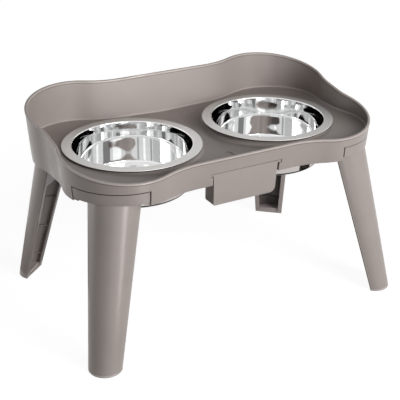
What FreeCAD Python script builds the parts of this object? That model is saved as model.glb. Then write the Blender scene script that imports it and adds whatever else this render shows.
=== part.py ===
import FreeCAD, Part
import math
import os

# An elevated pet feeder: a bone-shaped splash tray on four plug-in legs, with two steel bowls
# that lift out and a small drip drawer in the middle of the front.
# Millimetres. The origin is on the ground under the middle of the tray, +X runs along the tray,
# +Y points to the high back wall and +Z is up. Heights are measured from the ground.

# Bowls, spun from steel sheet, with a flat rim
bowl_rim_radius = 100.0
bowl_rim_gap = 28.0
bowl_rim_width = 13.5
bowl_rim_round = 1.4
bowl_depth = 64.5
bowl_corner_radius = 3.0
bowl_wall_draft = 4.0
bowl_sheet = 0.9
bowl_lift_clearance = 2.8

# Seat of each bowl: a raised collar in the tray with a soft ring on top
collar_overhang = 2.2
collar_band_height = 4.0
collar_flare_height = 9.0
collar_flare_width = 8.0
ring_thickness = 1.6
ring_edge_setback = 1.4
ring_key_width = 2.4
ring_key_depth = 1.5
seat_gap = 0.2

# Tray: four round lobes joined by hollow sides, flaring outward towards the rim
stand_height = 223.0
lobe_radius = 81.0
lobe_inset_x = 56.6
lobe_inset_y = 42.9
long_side_hollow = 15.1
long_side_fillet = 157.0
short_side_hollow = 5.9
short_side_fillet = 96.4
wall_thickness = 3.0
wall_flare = 4.2
rim_middle_height = 60.0
rim_tilt = 9.93
bowl_rim_height = 30.8
floor_height = 19.4
floor_rise = 7.85
floor_thickness = 1.8

# Drain in the floor: a shallow gutter that ends in a hole over the drip drawer
gutter_width = 10.0
gutter_depth = 0.8
gutter_length = 44.0
drain_length = 9.0

# Legs: tapered half-round channels, open towards the middle of the stand
leg_top_radius = 36.2
leg_foot_radius = 23.6
leg_wall = 3.0
leg_splay_depth = 51.2
front_leg_splay_width = 45.2
rear_leg_splay_width = 39.2
leg_seat_angle = 53.3
leg_face_angle = 49.0
leg_proud = 0.8
lip_width = 4.5
lip_thickness = 2.6
rib_height = 3.0
rib_thickness = 2.4
rib_first_height = 25.0
rib_spacing = 51.0
rib_count = 3

# Flange of each leg, flush in a notch of the tray's skirt
flange_angle = 52.4
flange_half_angle = 39.9
flange_base = 5.0
flange_height = 20.6
flange_side_gap = 2.2
flange_top_gap = 0.9
stop_width = 7.0
stop_thickness = 2.0
stop_gap = 0.4
shelf_height = 9.0
shelf_thickness = 2.4

# Tongues under the tray, which the legs slide over
tongue_reach = 55.0
tongue_thickness = 3.0
tongue_gap = 0.4

# Soft caps in the ends of the legs, each a flush sole with a plug
cap_height = 9.0
cap_gap = 0.1
cap_sole = 3.4

# Drip drawer in the middle of the front skirt
drawer_width = 104.0
drawer_depth = 26.0
drawer_drop = 31.0
drawer_wall = 2.0
drawer_face = 2.4
drawer_pour_radius = 9.0
drawer_pour_taper = 4.4
drawer_corner_radius = 3.0
drawer_back_radius = 5.0
drawer_side_gap = 1.6
drawer_top_gap = 0.9
ear_width = 5.5
ear_height = 3.6
ear_gap = 0.4
rail_web = 2.2
rail_ledge = 2.2

# Worked out from the sizes above
MARGIN = 20.0
PAST = 1.0
bowl_spacing = 2 * bowl_rim_radius + bowl_rim_gap
bowl_rim_z = stand_height + bowl_rim_height
floor_z = stand_height + floor_height
floor_slope = floor_rise / (bowl_spacing / 2 + bowl_rim_radius)
flare_slope = math.tan(math.radians(wall_flare))
rim_slope = math.tan(math.radians(rim_tilt))
lobe_x = bowl_spacing / 2 + bowl_rim_radius - lobe_inset_x
lobe_y = bowl_rim_radius - lobe_inset_y
half_length = lobe_x + lobe_radius - short_side_hollow
half_width = lobe_y + lobe_radius - long_side_hollow
tray_reach = max(lobe_x, lobe_y) + lobe_radius
rim_top_z = stand_height + rim_middle_height + rim_slope * (lobe_y + lobe_radius) + MARGIN

bowl_opening_radius = bowl_rim_radius - bowl_rim_width
bowl_wall_radius = bowl_opening_radius - bowl_rim_round
bowl_hole_radius = bowl_wall_radius + bowl_sheet + bowl_lift_clearance
collar_radius = bowl_rim_radius - collar_overhang
ring_top_z = bowl_rim_z - bowl_sheet - seat_gap
collar_top_z = ring_top_z - ring_thickness

flange_top_z = stand_height + flange_height
notch_top_z = flange_top_z + flange_top_gap
leg_seat_distance = lobe_radius + leg_proud - leg_top_radius
shelf_top_z = stand_height + shelf_height
tongue_end_z = stand_height - tongue_reach

drawer_face_y = -half_width
drawer_bottom_z = stand_height - drawer_drop
drawer_roof_z = floor_z - floor_thickness
drawer_top_z = drawer_roof_z - drawer_top_gap
ear_bottom_z = drawer_top_z - ear_height
ledge_top_z = ear_bottom_z - ear_gap
drawer_half = drawer_width / 2
ear_half = drawer_half + ear_width


def vector(x, y, z):
    """A point or direction."""
    return FreeCAD.Vector(x, y, z)


def box(x0, x1, y0, y1, z0, z1):
    """An upright box between two corners."""
    return Part.makeBox(x1 - x0, y1 - y0, z1 - z0, vector(x0, y0, z0))


def cylinder(radius, z0, z1, x, y):
    """An upright cylinder."""
    return Part.makeCylinder(radius, z1 - z0, vector(x, y, z0))


def line(a, b):
    """A straight edge."""
    return Part.LineSegment(a, b).toShape()


def arc(a, middle, b):
    """A round edge through three points."""
    return Part.Arc(a, middle, b).toShape()


def polygon(points):
    """A closed wire of straight edges."""
    return Part.makePolygon(list(points) + [points[0]])


def prism(points, direction):
    """A solid with the given flat outline."""
    return Part.Face(polygon(points)).extrude(direction)


def loft(lower, upper):
    """A solid with straight sides between two outlines."""
    return Part.makeLoft([lower, upper], True, True)


def revolve(edges):
    """A round solid about the Z axis from an outline in the XZ plane."""
    face = Part.Face(Part.Wire(Part.__sortEdges__(edges)))
    return face.revolve(vector(0, 0, 0), vector(0, 0, 1), 360)


def limited_fillet(fillet, hollow, reach):
    """A hollow side's fillet, no larger than the side has room for."""
    room = (reach * reach + hollow * hollow) / (2 * hollow) - lobe_radius
    return min(fillet, 0.98 * room)


def half_chord(fillet, hollow):
    """Distance along a side from a lobe's centre to its fillet's centre."""
    reach = lobe_radius + fillet
    return math.sqrt(2 * hollow * reach - hollow * hollow)


def tray_outline(grow, z):
    """The tray's plan at one height, grown outward from the skirt's lower edge."""
    long_fillet = limited_fillet(long_side_fillet, long_side_hollow, lobe_x)
    short_fillet = limited_fillet(short_side_fillet, short_side_hollow, lobe_y)
    lobe = vector(lobe_x, lobe_y, z)
    long_chord = half_chord(long_fillet, long_side_hollow)
    short_chord = half_chord(short_fillet, short_side_hollow)
    long_centre = vector(lobe_x - long_chord, half_width + long_fillet, z)
    short_centre = vector(half_length + short_fillet, lobe_y - short_chord, z)
    to_long = (long_centre - lobe).normalize()
    to_short = (short_centre - lobe).normalize()
    lobe_middle = (to_long + to_short).normalize()
    down = vector(0, -1, 0)
    left = vector(-1, 0, 0)
    long_middle = (down - to_long).normalize()
    short_middle = (left - to_short).normalize()
    quarter = [
        short_centre + left * (short_fillet - grow),
        short_centre + short_middle * (short_fillet - grow),
        lobe + to_short * (lobe_radius + grow),
        lobe + lobe_middle * (lobe_radius + grow),
        lobe + to_long * (lobe_radius + grow),
        long_centre + long_middle * (long_fillet - grow),
        long_centre + down * (long_fillet - grow),
    ]
    chain = []
    for side_x, side_y in ((1, 1), (-1, 1), (-1, -1), (1, -1)):
        turned = [vector(p.x * side_x, p.y * side_y, z) for p in quarter]
        chain.append(turned if side_x * side_y > 0 else turned[::-1])
    edges = []
    for index, points in enumerate(chain):
        edges.append(arc(points[0], points[1], points[2]))
        edges.append(arc(points[2], points[3], points[4]))
        edges.append(arc(points[4], points[5], points[6]))
        edges.append(line(points[6], chain[(index + 1) % 4][0]))
    return Part.Wire(edges)


def flared_tray(inset, z0, z1):
    """The tray's flaring plan between two heights, drawn in from the outer face."""
    lower = tray_outline((z0 - stand_height) * flare_slope - inset, z0)
    upper = tray_outline((z1 - stand_height) * flare_slope - inset, z1)
    return loft(lower, upper)


def floor_band(above, below):
    """A slab that follows the floor, which falls gently towards the middle of the tray."""
    reach = tray_reach + MARGIN
    rise = reach * floor_slope
    top = floor_z + above
    bottom = floor_z - below
    points = [
        vector(-reach, -reach, top + rise),
        vector(0, -reach, top),
        vector(reach, -reach, top + rise),
        vector(reach, -reach, bottom + rise),
        vector(0, -reach, bottom),
        vector(-reach, -reach, bottom + rise),
    ]
    return prism(points, vector(0, 2 * reach, 0))


def tray_shell():
    """Skirt, floor and splash wall before any opening is cut, with the rim cut on a slant."""
    outer = flared_tray(0, stand_height, rim_top_z)
    inner = flared_tray(wall_thickness, stand_height - MARGIN, rim_top_z + MARGIN)
    shell = outer.cut(inner.cut(floor_band(0, floor_thickness)))
    reach = tray_reach + MARGIN
    middle = stand_height + rim_middle_height
    points = [
        vector(-reach, -reach, middle - reach * rim_slope),
        vector(-reach, reach, middle + reach * rim_slope),
        vector(-reach, reach, rim_top_z + 2 * reach),
        vector(-reach, -reach, rim_top_z + 2 * reach),
    ]
    return shell.cut(prism(points, vector(2 * reach, 0, 0)))


def collar(x):
    """The raised seat around one bowl hole, without the hole."""
    band_z = collar_top_z - collar_band_height
    flare_z = band_z - collar_flare_height
    band = cylinder(collar_radius, band_z, collar_top_z, x, 0)
    base_radius = collar_radius + collar_flare_width
    flare = Part.makeCone(base_radius, collar_radius, collar_flare_height, vector(x, 0, flare_z))
    return band.fuse(flare).cut(floor_band(-floor_thickness, 2 * collar_flare_height))


def ring_key(x):
    """The ridge under a ring, which fills the groove in its collar's top."""
    middle = (bowl_hole_radius + collar_radius) / 2
    half = ring_key_width / 2
    bottom = collar_top_z - ring_key_depth
    outer = cylinder(middle + half, bottom, collar_top_z, x, 0)
    return outer.cut(cylinder(middle - half, bottom, collar_top_z, x, 0))


def leg_splay(side_x, side_y):
    """How far a leg's end stands out from its top, along and across the tray."""
    width = rear_leg_splay_width if side_y > 0 else front_leg_splay_width
    return vector(side_x * width, side_y * leg_splay_depth, 0)


def leg_frame(side_x, side_y, z):
    """Centre, outward direction, sideways direction and radius of a leg at one height."""
    seat = math.radians(leg_seat_angle)
    face = math.radians(leg_face_angle)
    outward = vector(side_x * math.cos(face), side_y * math.sin(face), 0)
    sideways = vector(-outward.y, outward.x, 0)
    splay = leg_splay(side_x, side_y)
    top = vector(side_x * (lobe_x + leg_seat_distance * math.cos(seat)),
                 side_y * (lobe_y + leg_seat_distance * math.sin(seat)), 0)
    down = (stand_height - z) / stand_height
    centre = top + splay * down
    radius = leg_top_radius + (leg_foot_radius - leg_top_radius) * down
    return vector(centre.x, centre.y, z), outward, sideways, radius


def half_round(side_x, side_y, z, inset, start):
    """A half-round section of a leg, whose flat side lies a distance outward of the open edges."""
    centre, outward, sideways, radius = leg_frame(side_x, side_y, z)
    round_radius = radius - inset
    half = math.sqrt(round_radius ** 2 - start ** 2)
    a = centre + outward * start - sideways * half
    b = centre + outward * start + sideways * half
    return Part.Wire([arc(a, centre + outward * round_radius, b), line(b, a)])


def half_round_solid(side_x, side_y, z0, z1, inset, start):
    """A tapering half-round solid between two heights."""
    return loft(half_round(side_x, side_y, z0, inset, start), half_round(side_x, side_y, z1, inset, start))


def slot_section(side_x, side_y, z, start, end, half):
    """A rectangular section in a leg's own directions."""
    centre, outward, sideways = leg_frame(side_x, side_y, z)[:3]
    a = centre + outward * start - sideways * half
    b = centre + outward * end - sideways * half
    c = centre + outward * end + sideways * half
    d = centre + outward * start + sideways * half
    return polygon([a, b, c, d])


def leg_radius(z):
    """A leg's outer radius at one height."""
    return leg_frame(1, 1, z)[3]


def leg_mouth(side_x, side_y, z0, z1):
    """The long opening between a leg's two lips."""
    def section(z):
        half = leg_radius(z) - leg_wall - lip_width
        return slot_section(side_x, side_y, z, -PAST, lip_thickness + PAST, half)
    return loft(section(z0), section(z1))


def flange_sector(side_x, side_y, z0, z1, gap):
    """The wedge of the skirt that a leg's flange fills, less a gap at each side."""
    middle = math.radians(flange_angle)
    centre_angle = math.degrees(math.atan2(side_y * math.sin(middle), side_x * math.cos(middle)))
    half = flange_half_angle - math.degrees(gap / lobe_radius)
    reach = lobe_radius + MARGIN
    wedge = Part.makeCylinder(reach, z1 - z0, vector(0, 0, z0), vector(0, 0, 1), 2 * half)
    wedge.rotate(vector(0, 0, 0), vector(0, 0, 1), centre_angle - half)
    wedge.translate(vector(side_x * lobe_x, side_y * lobe_y, 0))
    return wedge


def flange_stops(side_x, side_y):
    """Two ribs behind the ends of a notch, which the flange stands in front of."""
    reach = lobe_radius - wall_thickness - stop_gap
    roof = floor_z + tray_reach * floor_slope
    x, y = side_x * lobe_x, side_y * lobe_y
    band = cylinder(reach, stand_height, roof, x, y)
    band = band.cut(cylinder(reach - stop_thickness, stand_height, roof, x, y))
    root = cylinder(reach + stop_gap + wall_thickness / 2, stand_height, roof, x, y)
    root = root.cut(cylinder(reach - stop_thickness, stand_height, roof, x, y))
    wide = flange_sector(side_x, side_y, stand_height, roof, -stop_thickness)
    notch = flange_sector(side_x, side_y, stand_height, roof, 0)
    middle = flange_sector(side_x, side_y, stand_height, roof, stop_width)
    ribs = band.common(wide).cut(middle).fuse(root.common(wide).cut(notch))
    return ribs.cut(floor_band(MARGIN + tray_reach, floor_thickness / 2))


def leg(side_x, side_y):
    """One leg: half-round channel with lips and ribs, and the curved flange at its top."""
    top = flange_top_z
    body = half_round_solid(side_x, side_y, cap_sole, top, 0, 0)
    wing_z = shelf_top_z - shelf_thickness
    skirt = flared_tray(0, stand_height, top)
    inside = flared_tray(wall_thickness, stand_height - PAST, top + PAST)
    wedge = flange_sector(side_x, side_y, stand_height + flange_base, top, flange_side_gap)
    flange = skirt.cut(inside).common(wedge)
    behind = slot_section(side_x, side_y, wing_z, 0, 2 * lobe_radius, lobe_radius)
    shelf_block = Part.Face(behind).extrude(vector(0, 0, shelf_thickness))
    clear = flange_sector(side_x, side_y, stand_height, top, stop_width + stop_gap)
    shelf = skirt.common(clear).common(shelf_block)
    body = body.fuse(flange).fuse(shelf)
    channel = half_round_solid(side_x, side_y, cap_sole - PAST, top + PAST, leg_wall, lip_thickness)
    mouth = leg_mouth(side_x, side_y, cap_sole - PAST, top + PAST)
    body = body.cut(channel).cut(mouth)
    for index in range(rib_count):
        z = rib_first_height + index * rib_spacing
        ring = half_round_solid(side_x, side_y, z, z + rib_thickness, leg_wall / 2, lip_thickness)
        bore = half_round_solid(side_x, side_y, z - PAST, z + rib_thickness + PAST, leg_wall + rib_height,
                                lip_thickness - PAST)
        body = body.fuse(ring.cut(bore))
    return body.removeSplitter()


def foot_cap(side_x, side_y):
    """The soft end of one leg: a sole flush with the leg and a plug inside it."""
    sole = half_round_solid(side_x, side_y, 0, cap_sole, 0, 0)
    plug = half_round_solid(side_x, side_y, cap_sole, cap_height, leg_wall + cap_gap, lip_thickness + cap_gap)
    return sole.fuse(plug).removeSplitter()


def tongue(side_x, side_y):
    """The T-shaped tongue under the tray that one leg slides over."""
    start = lip_thickness + tongue_gap
    end = start + tongue_thickness
    top = floor_z + tray_reach * floor_slope

    def plate(z):
        inner = leg_radius(z) - leg_wall
        half = math.sqrt(inner ** 2 - end ** 2) - tongue_gap
        return slot_section(side_x, side_y, z, start, end, half)

    def web(z):
        reach = leg_radius(z) - leg_wall - tongue_gap
        return slot_section(side_x, side_y, z, start, reach, tongue_thickness / 2)

    body = loft(plate(tongue_end_z), plate(top))
    body = body.fuse(loft(web(tongue_end_z), web(top)))
    return body.cut(floor_band(MARGIN + tray_reach, floor_thickness / 2))


def drawer_rails():
    """Two rails under the floor that carry the drawer's ears and guide its sides."""
    front = drawer_face_y + wall_thickness / 2
    back = drawer_face_y + drawer_depth
    web_inner = ear_half + ear_gap
    web_outer = web_inner + rail_web
    roof = floor_z + web_outer * floor_slope
    ledge_inner = drawer_half + drawer_side_gap
    guide_outer = ledge_inner + rail_web
    rails = []
    for side in (1, -1):
        web = box(min(side * web_inner, side * web_outer), max(side * web_inner, side * web_outer),
                  front, back, ledge_top_z - rail_ledge, roof)
        ledge = box(min(side * ledge_inner, side * web_outer), max(side * ledge_inner, side * web_outer),
                    front, back, ledge_top_z - rail_ledge, ledge_top_z)
        guide = box(min(side * ledge_inner, side * guide_outer), max(side * ledge_inner, side * guide_outer),
                    front, back, stand_height, ledge_top_z)
        rails.append(web.fuse(ledge).fuse(guide).cut(floor_band(MARGIN, floor_thickness / 2)))
    return rails


def drawer_opening():
    """The T-shaped notch in the front skirt."""
    front = drawer_face_y - MARGIN
    back = drawer_face_y + 2 * wall_thickness
    stem_half = drawer_half + drawer_side_gap
    stem = box(-stem_half, stem_half, front, back, stand_height - PAST, drawer_roof_z)
    bar_half = ear_half + ear_gap
    bar = box(-bar_half, bar_half, front, back, ledge_top_z, drawer_roof_z)
    return stem.fuse(bar)


def drain():
    """The gutter in the floor and the hole at its front end."""
    front = drawer_face_y + wall_thickness + drawer_wall
    half = gutter_width / 2
    trough = box(-half, half, front, front + gutter_length, floor_z - gutter_depth, floor_z + MARGIN)
    end = cylinder(half, floor_z - gutter_depth, floor_z + MARGIN, 0, front + gutter_length)
    hole = box(-half, half, front, front + drain_length, floor_z - MARGIN, floor_z + MARGIN)
    return trough.fuse(end).fuse(hole)


def tray():
    """The splash tray with its bowl seats, leg notches, tongues and drawer rails."""
    body = tray_shell()
    for side in (-1, 1):
        body = body.fuse(collar(side * bowl_spacing / 2))
    for side in (-1, 1):
        x = side * bowl_spacing / 2
        body = body.cut(cylinder(bowl_hole_radius, stand_height, rim_top_z, x, 0))
        body = body.cut(ring_key(x))
    for side_x in (-1, 1):
        for side_y in (-1, 1):
            wedge = flange_sector(side_x, side_y, stand_height - PAST, notch_top_z, 0)
            keep = cylinder(lobe_radius - 2 * wall_thickness, stand_height - 2 * PAST, notch_top_z + PAST,
                            side_x * lobe_x, side_y * lobe_y)
            body = body.cut(wedge.cut(keep))
            body = body.fuse(tongue(side_x, side_y)).fuse(flange_stops(side_x, side_y))
    body = body.cut(drawer_opening())
    for rail in drawer_rails():
        body = body.fuse(rail)
    return body.cut(drain()).removeSplitter()


def bowl(side):
    """One bowl: flat bottom, round corner, drafted wall and a flat rim, of even sheet."""
    top = bowl_rim_z
    bottom = top - bowl_depth
    slope = math.tan(math.radians(bowl_wall_draft))
    turn = math.radians(90 - bowl_wall_draft)

    def profile(outset, rim_end, rim_top):
        """Outline of a filled bowl whose face lies a distance outside the inner face."""
        rim_round = bowl_rim_round - outset
        corner = bowl_corner_radius + outset
        floor = bottom + bowl_sheet - outset
        rim_centre = vector(bowl_wall_radius + bowl_rim_round, 0, top - bowl_rim_round)
        rim_low = rim_centre + vector(-math.cos(math.radians(bowl_wall_draft)), 0,
                                      math.sin(math.radians(bowl_wall_draft))) * rim_round
        rim_high = rim_centre + vector(0, 0, rim_round)
        rim_half = math.radians(90 + bowl_wall_draft) / 2
        rim_mid = rim_centre + vector(-math.sin(rim_half), 0, math.cos(rim_half)) * rim_round
        inner_corner_z = bottom + bowl_sheet + bowl_corner_radius
        drop = rim_centre.z - inner_corner_z
        wall_foot = bowl_wall_radius + bowl_rim_round * (1 - 1 / math.cos(math.radians(bowl_wall_draft)))
        corner_x = wall_foot - drop * slope - bowl_corner_radius / math.cos(math.radians(bowl_wall_draft))
        corner_centre = vector(corner_x, 0, inner_corner_z)
        corner_high = corner_centre + vector(math.sin(turn), 0, -math.cos(turn)) * corner
        corner_mid = corner_centre + vector(math.sin(turn / 2), 0, -math.cos(turn / 2)) * corner
        corner_low = vector(corner_x, 0, floor)
        outer_low = vector(rim_end, 0, rim_high.z)
        outer_high = vector(rim_end, 0, rim_top)
        axis_low = vector(0, 0, floor)
        axis_high = vector(0, 0, rim_top)
        return [
            line(axis_low, corner_low),
            arc(corner_low, corner_mid, corner_high),
            line(corner_high, rim_low),
            arc(rim_low, rim_mid, rim_high),
            line(rim_high, outer_low),
            line(outer_low, outer_high),
            line(outer_high, axis_high),
            line(axis_high, axis_low),
        ]

    outside = revolve(profile(bowl_sheet, bowl_rim_radius, top))
    inside = revolve(profile(0, bowl_rim_radius + MARGIN, top + MARGIN))
    shape = outside.cut(inside)
    shape.translate(vector(side * bowl_spacing / 2, 0, 0))
    return shape


def seat_ring(side):
    """The soft ring under one bowl's rim, keyed into the collar."""
    x = side * bowl_spacing / 2
    inner = bowl_hole_radius + ring_edge_setback
    outer = bowl_rim_radius - ring_edge_setback
    band = cylinder(outer, collar_top_z, ring_top_z, x, 0)
    band = band.cut(cylinder(inner, collar_top_z, ring_top_z, x, 0))
    return band.fuse(ring_key(x)).removeSplitter()


def drawer_front(inset, y0, y1):
    """The drawer's front outline as a slab: square at one lower corner, round and tapered at the other."""
    left = -drawer_half + inset
    bottom = drawer_bottom_z + inset
    top = drawer_top_z + (MARGIN if inset else 0)
    pour = drawer_pour_radius - inset
    corner = max(drawer_corner_radius - inset, drawer_wall / 4)
    diagonal = math.sqrt(0.5)
    taper = math.radians(drawer_pour_taper)
    pour_turn = (math.pi / 2 + taper) / 2

    def right(z):
        """Where the tapered side lies at one height."""
        return drawer_half - inset / math.cos(taper) - (drawer_top_z - z) * math.tan(taper)

    pour_centre = vector(right(bottom + pour) - pour / math.cos(taper), y0, bottom + pour)
    pour_low = pour_centre + vector(0, 0, -pour)
    pour_middle = pour_centre + vector(math.cos(pour_turn), 0, -math.sin(pour_turn)) * pour
    pour_high = pour_centre + vector(math.cos(taper), 0, -math.sin(taper)) * pour
    edges = [
        line(vector(left, y0, top), vector(left, y0, bottom + corner)),
        arc(vector(left, y0, bottom + corner),
            vector(left + corner * (1 - diagonal), y0, bottom + corner * (1 - diagonal)),
            vector(left + corner, y0, bottom)),
        line(vector(left + corner, y0, bottom), pour_low),
        arc(pour_low, pour_middle, pour_high),
        line(pour_high, vector(right(top), y0, top)),
        line(vector(right(top), y0, top), vector(left, y0, top)),
    ]
    return Part.Face(Part.Wire(edges)).extrude(vector(0, y1 - y0, 0))


def drawer_side(inset):
    """The drawer's side outline as a long bar, with its lower back edge rounded."""
    reach = drawer_half + MARGIN
    front = drawer_face_y - MARGIN
    back = drawer_face_y + drawer_depth - inset
    bottom = drawer_bottom_z + inset
    bar = box(-reach, reach, front, back, bottom, drawer_top_z + 2 * MARGIN)
    radius = max(drawer_back_radius - inset, drawer_wall / 4)
    corner = box(-reach, reach, back - radius, back + PAST, bottom - PAST, bottom + radius)
    rod_start = vector(-reach, back - radius, bottom + radius)
    rod = Part.makeCylinder(radius, 2 * reach, rod_start, vector(1, 0, 0))
    return bar.cut(corner).fuse(rod)


def drip_drawer():
    """The small open box behind the front plate, with an ear along each side."""
    back = drawer_face_y + drawer_depth
    body = drawer_front(0, drawer_face_y, back).common(drawer_side(0))
    hollow = drawer_front(drawer_wall, drawer_face_y + drawer_face, back).common(drawer_side(drawer_wall))
    body = body.cut(hollow)
    for side in (1, -1):
        inner = side * (drawer_half - drawer_wall / 2)
        outer = side * ear_half
        body = body.fuse(box(min(inner, outer), max(inner, outer), drawer_face_y, back,
                             ear_bottom_z, drawer_top_z))
    return body.removeSplitter()


def save(name, shape):
    """Writes one piece, after a look at its soundness."""
    solids = shape.Solids
    single = solids[0] if len(solids) == 1 else shape
    print(name, "solids", len(solids), "valid", shape.isValid(), "volume", round(shape.Volume, 1))
    single.exportStep("parts/" + name + ".step")


def main():
    """Builds and saves every piece."""
    os.makedirs("parts", exist_ok=True)
    save("tray", tray())
    for name, side in (("left", -1), ("right", 1)):
        save("bowl_" + name, bowl(side))
        save("bowl_seat_ring_" + name, seat_ring(side))
    for depth, side_y in (("front", -1), ("rear", 1)):
        for width, side_x in (("left", -1), ("right", 1)):
            save(depth + "_" + width + "_leg", leg(side_x, side_y))
            save(depth + "_" + width + "_foot_cap", foot_cap(side_x, side_y))
    save("drip_drawer", drip_drawer())


if __name__ == "__main__":
    main()
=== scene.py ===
"""Dresses the elevated pet feeder: tray, steel bowls, seat rings, channel legs, foot caps and drip drawer.

Lengths are in metres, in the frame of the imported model: +X along the tray, +Y to the high back wall, +Z up.
"""

import logging
import math
from dataclasses import dataclass, field
from enum import Enum
from typing import Callable, Iterable, NamedTuple, Sequence

import bmesh
import bpy
from mathutils import Matrix, Vector


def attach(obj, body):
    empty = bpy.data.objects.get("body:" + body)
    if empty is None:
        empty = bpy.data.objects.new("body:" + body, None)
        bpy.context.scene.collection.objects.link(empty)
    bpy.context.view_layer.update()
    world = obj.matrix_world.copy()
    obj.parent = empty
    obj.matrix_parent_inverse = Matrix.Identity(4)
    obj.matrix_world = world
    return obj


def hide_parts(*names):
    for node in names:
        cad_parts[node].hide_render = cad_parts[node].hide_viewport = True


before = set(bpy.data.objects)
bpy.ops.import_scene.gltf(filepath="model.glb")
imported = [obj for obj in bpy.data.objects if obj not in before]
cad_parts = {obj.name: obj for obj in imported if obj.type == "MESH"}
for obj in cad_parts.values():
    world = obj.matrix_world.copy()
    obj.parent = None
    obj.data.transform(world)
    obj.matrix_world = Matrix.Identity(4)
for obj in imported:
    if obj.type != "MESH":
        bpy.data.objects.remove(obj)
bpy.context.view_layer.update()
LOG = logging.getLogger("pet_feeder")
MM = 0.001
CLOSE = 1e-6
STAND_HEIGHT = 223.0 * MM
WALL = 3.0 * MM
RIM_MIDDLE = STAND_HEIGHT + 60.0 * MM
RIM_SLOPE = math.tan(math.radians(9.93))
BOWL_X = 114.0 * MM
SEAT_TOP = 251.1 * MM
DRAWER_HALF = 52.0 * MM
DRAWER_DEPTH = 26.0 * MM
DRAWER_TOP = 239.7 * MM
EAR_HALF = 57.5 * MM
# Layer that marks the floor fillet, which gets a painted highlight in the tray's finish.
FILLET_HIGHLIGHT = "painted_fillet_highlight"
LOOP_LAYERS = ("station", "ring")
CLOUDS = (0.3, 0.7)
FALLING = (1.0, 0.0)
SMOOTH_ANGLE = 32.0
Loop = list[Vector]
Pairs = Sequence[tuple[float, float]]
Piece = bpy.types.Object
Socket = bpy.types.NodeSocket
Tint = tuple[float, ...] | Socket


class Named(Enum):
    """An option whose name stands in the node names."""

    @property
    def label(self) -> str:
        """The option's name as the nodes spell it."""
        return self.name.lower()


class Corner(Named):
    """The four corners of the stand, with their sides along X and Y."""

    FRONT_LEFT = (-1, -1)
    FRONT_RIGHT = (1, -1)
    REAR_LEFT = (-1, 1)
    REAR_RIGHT = (1, 1)


FRONT_CORNERS = (Corner.FRONT_LEFT, Corner.FRONT_RIGHT)
REAR_CORNERS = (Corner.REAR_LEFT, Corner.REAR_RIGHT)


class Side(Named):
    """The two bowl seats, with their sides along X."""

    LEFT = -1
    RIGHT = 1


class Cut(Enum):
    """What a second shape does to a first."""

    ADD = "UNION"
    TAKE = "DIFFERENCE"


class Bench:
    """Hand tools that every piece is made with."""

    @staticmethod
    def clear() -> None:
        """Leaves edit mode and lets go of every object."""
        if bpy.context.object is not None and bpy.context.object.mode != "OBJECT":
            bpy.ops.object.mode_set(mode="OBJECT")
        bpy.ops.object.select_all(action="DESELECT")

    @staticmethod
    def take(piece: Piece) -> None:
        """Selects one object alone and makes it active."""
        Bench.clear()
        piece.select_set(True)
        bpy.context.view_layer.objects.active = piece

    @staticmethod
    def modify(piece: Piece, kind: str, **settings: object) -> None:
        """Adds a modifier and applies it.

        Args:
            piece: The object to change.
            kind: Blender's name for the modifier.
            settings: The modifier's own values.
        """
        Bench.take(piece)
        bpy.ops.object.modifier_add(type=kind)
        modifier = piece.modifiers[-1]
        for key, value in settings.items():
            setattr(modifier, key, value)
        bpy.ops.object.modifier_apply(modifier=modifier.name)

    @staticmethod
    def carve(piece: Piece, tool: Piece, cut: Cut) -> None:
        """Adds a second shape to a piece or takes it away, and drops the second shape.

        Args:
            piece: The object that stays.
            tool: The object that is used up.
            cut: Whether the tool is added or taken away.
        """
        Bench.modify(piece, "BOOLEAN", solver="EXACT", operation=cut.value, object=tool)
        mesh = tool.data
        bpy.data.objects.remove(tool)
        bpy.data.meshes.remove(mesh)

    @staticmethod
    def join(pieces: Sequence[Piece]) -> Piece:
        """Joins several objects into the first.

        Args:
            pieces: The objects, none of which overlap.

        Returns:
            The first object, which now holds them all.
        """
        Bench.take(pieces[0])
        for piece in pieces[1:]:
            piece.select_set(True)
        bpy.ops.object.join()
        return pieces[0]

    @staticmethod
    def polish(piece: Piece, angle: float) -> None:
        """Merges doubles, turns faces outward and shades smooth up to an angle in degrees."""
        Bench.take(piece)
        bpy.ops.object.mode_set(mode="EDIT")
        bpy.ops.mesh.select_all(action="SELECT")
        bpy.ops.mesh.remove_doubles(threshold=CLOSE)
        bpy.ops.mesh.normals_make_consistent(inside=False)
        bpy.ops.object.mode_set(mode="OBJECT")
        for name in LOOP_LAYERS:
            layer = piece.data.attributes.get(name)
            if layer is not None:
                piece.data.attributes.remove(layer)
        bpy.ops.object.shade_smooth_by_angle(angle=math.radians(angle))

    @staticmethod
    def copy(piece: Piece, name: str, scale: Vector, shift: Vector) -> Piece:
        """Copies a finished piece, mirrored or moved, with a mesh of its own.

        Args:
            piece: The model piece.
            name: The copy's name.
            scale: Factors about the origin, -1 to mirror.
            shift: How far the copy is moved.

        Returns:
            The copy.
        """
        twin = piece.copy()
        twin.data = piece.data.copy()
        twin.name = name
        bpy.context.collection.objects.link(twin)
        Bench.take(twin)
        bpy.ops.object.mode_set(mode="EDIT")
        bpy.ops.mesh.select_all(action="SELECT")
        bpy.ops.transform.resize(value=scale, center_override=(0.0, 0.0, 0.0))
        bpy.ops.transform.translate(value=shift)
        if scale.x * scale.y * scale.z < 0:
            bpy.ops.mesh.flip_normals()
        bpy.ops.object.mode_set(mode="OBJECT")
        return twin


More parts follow.
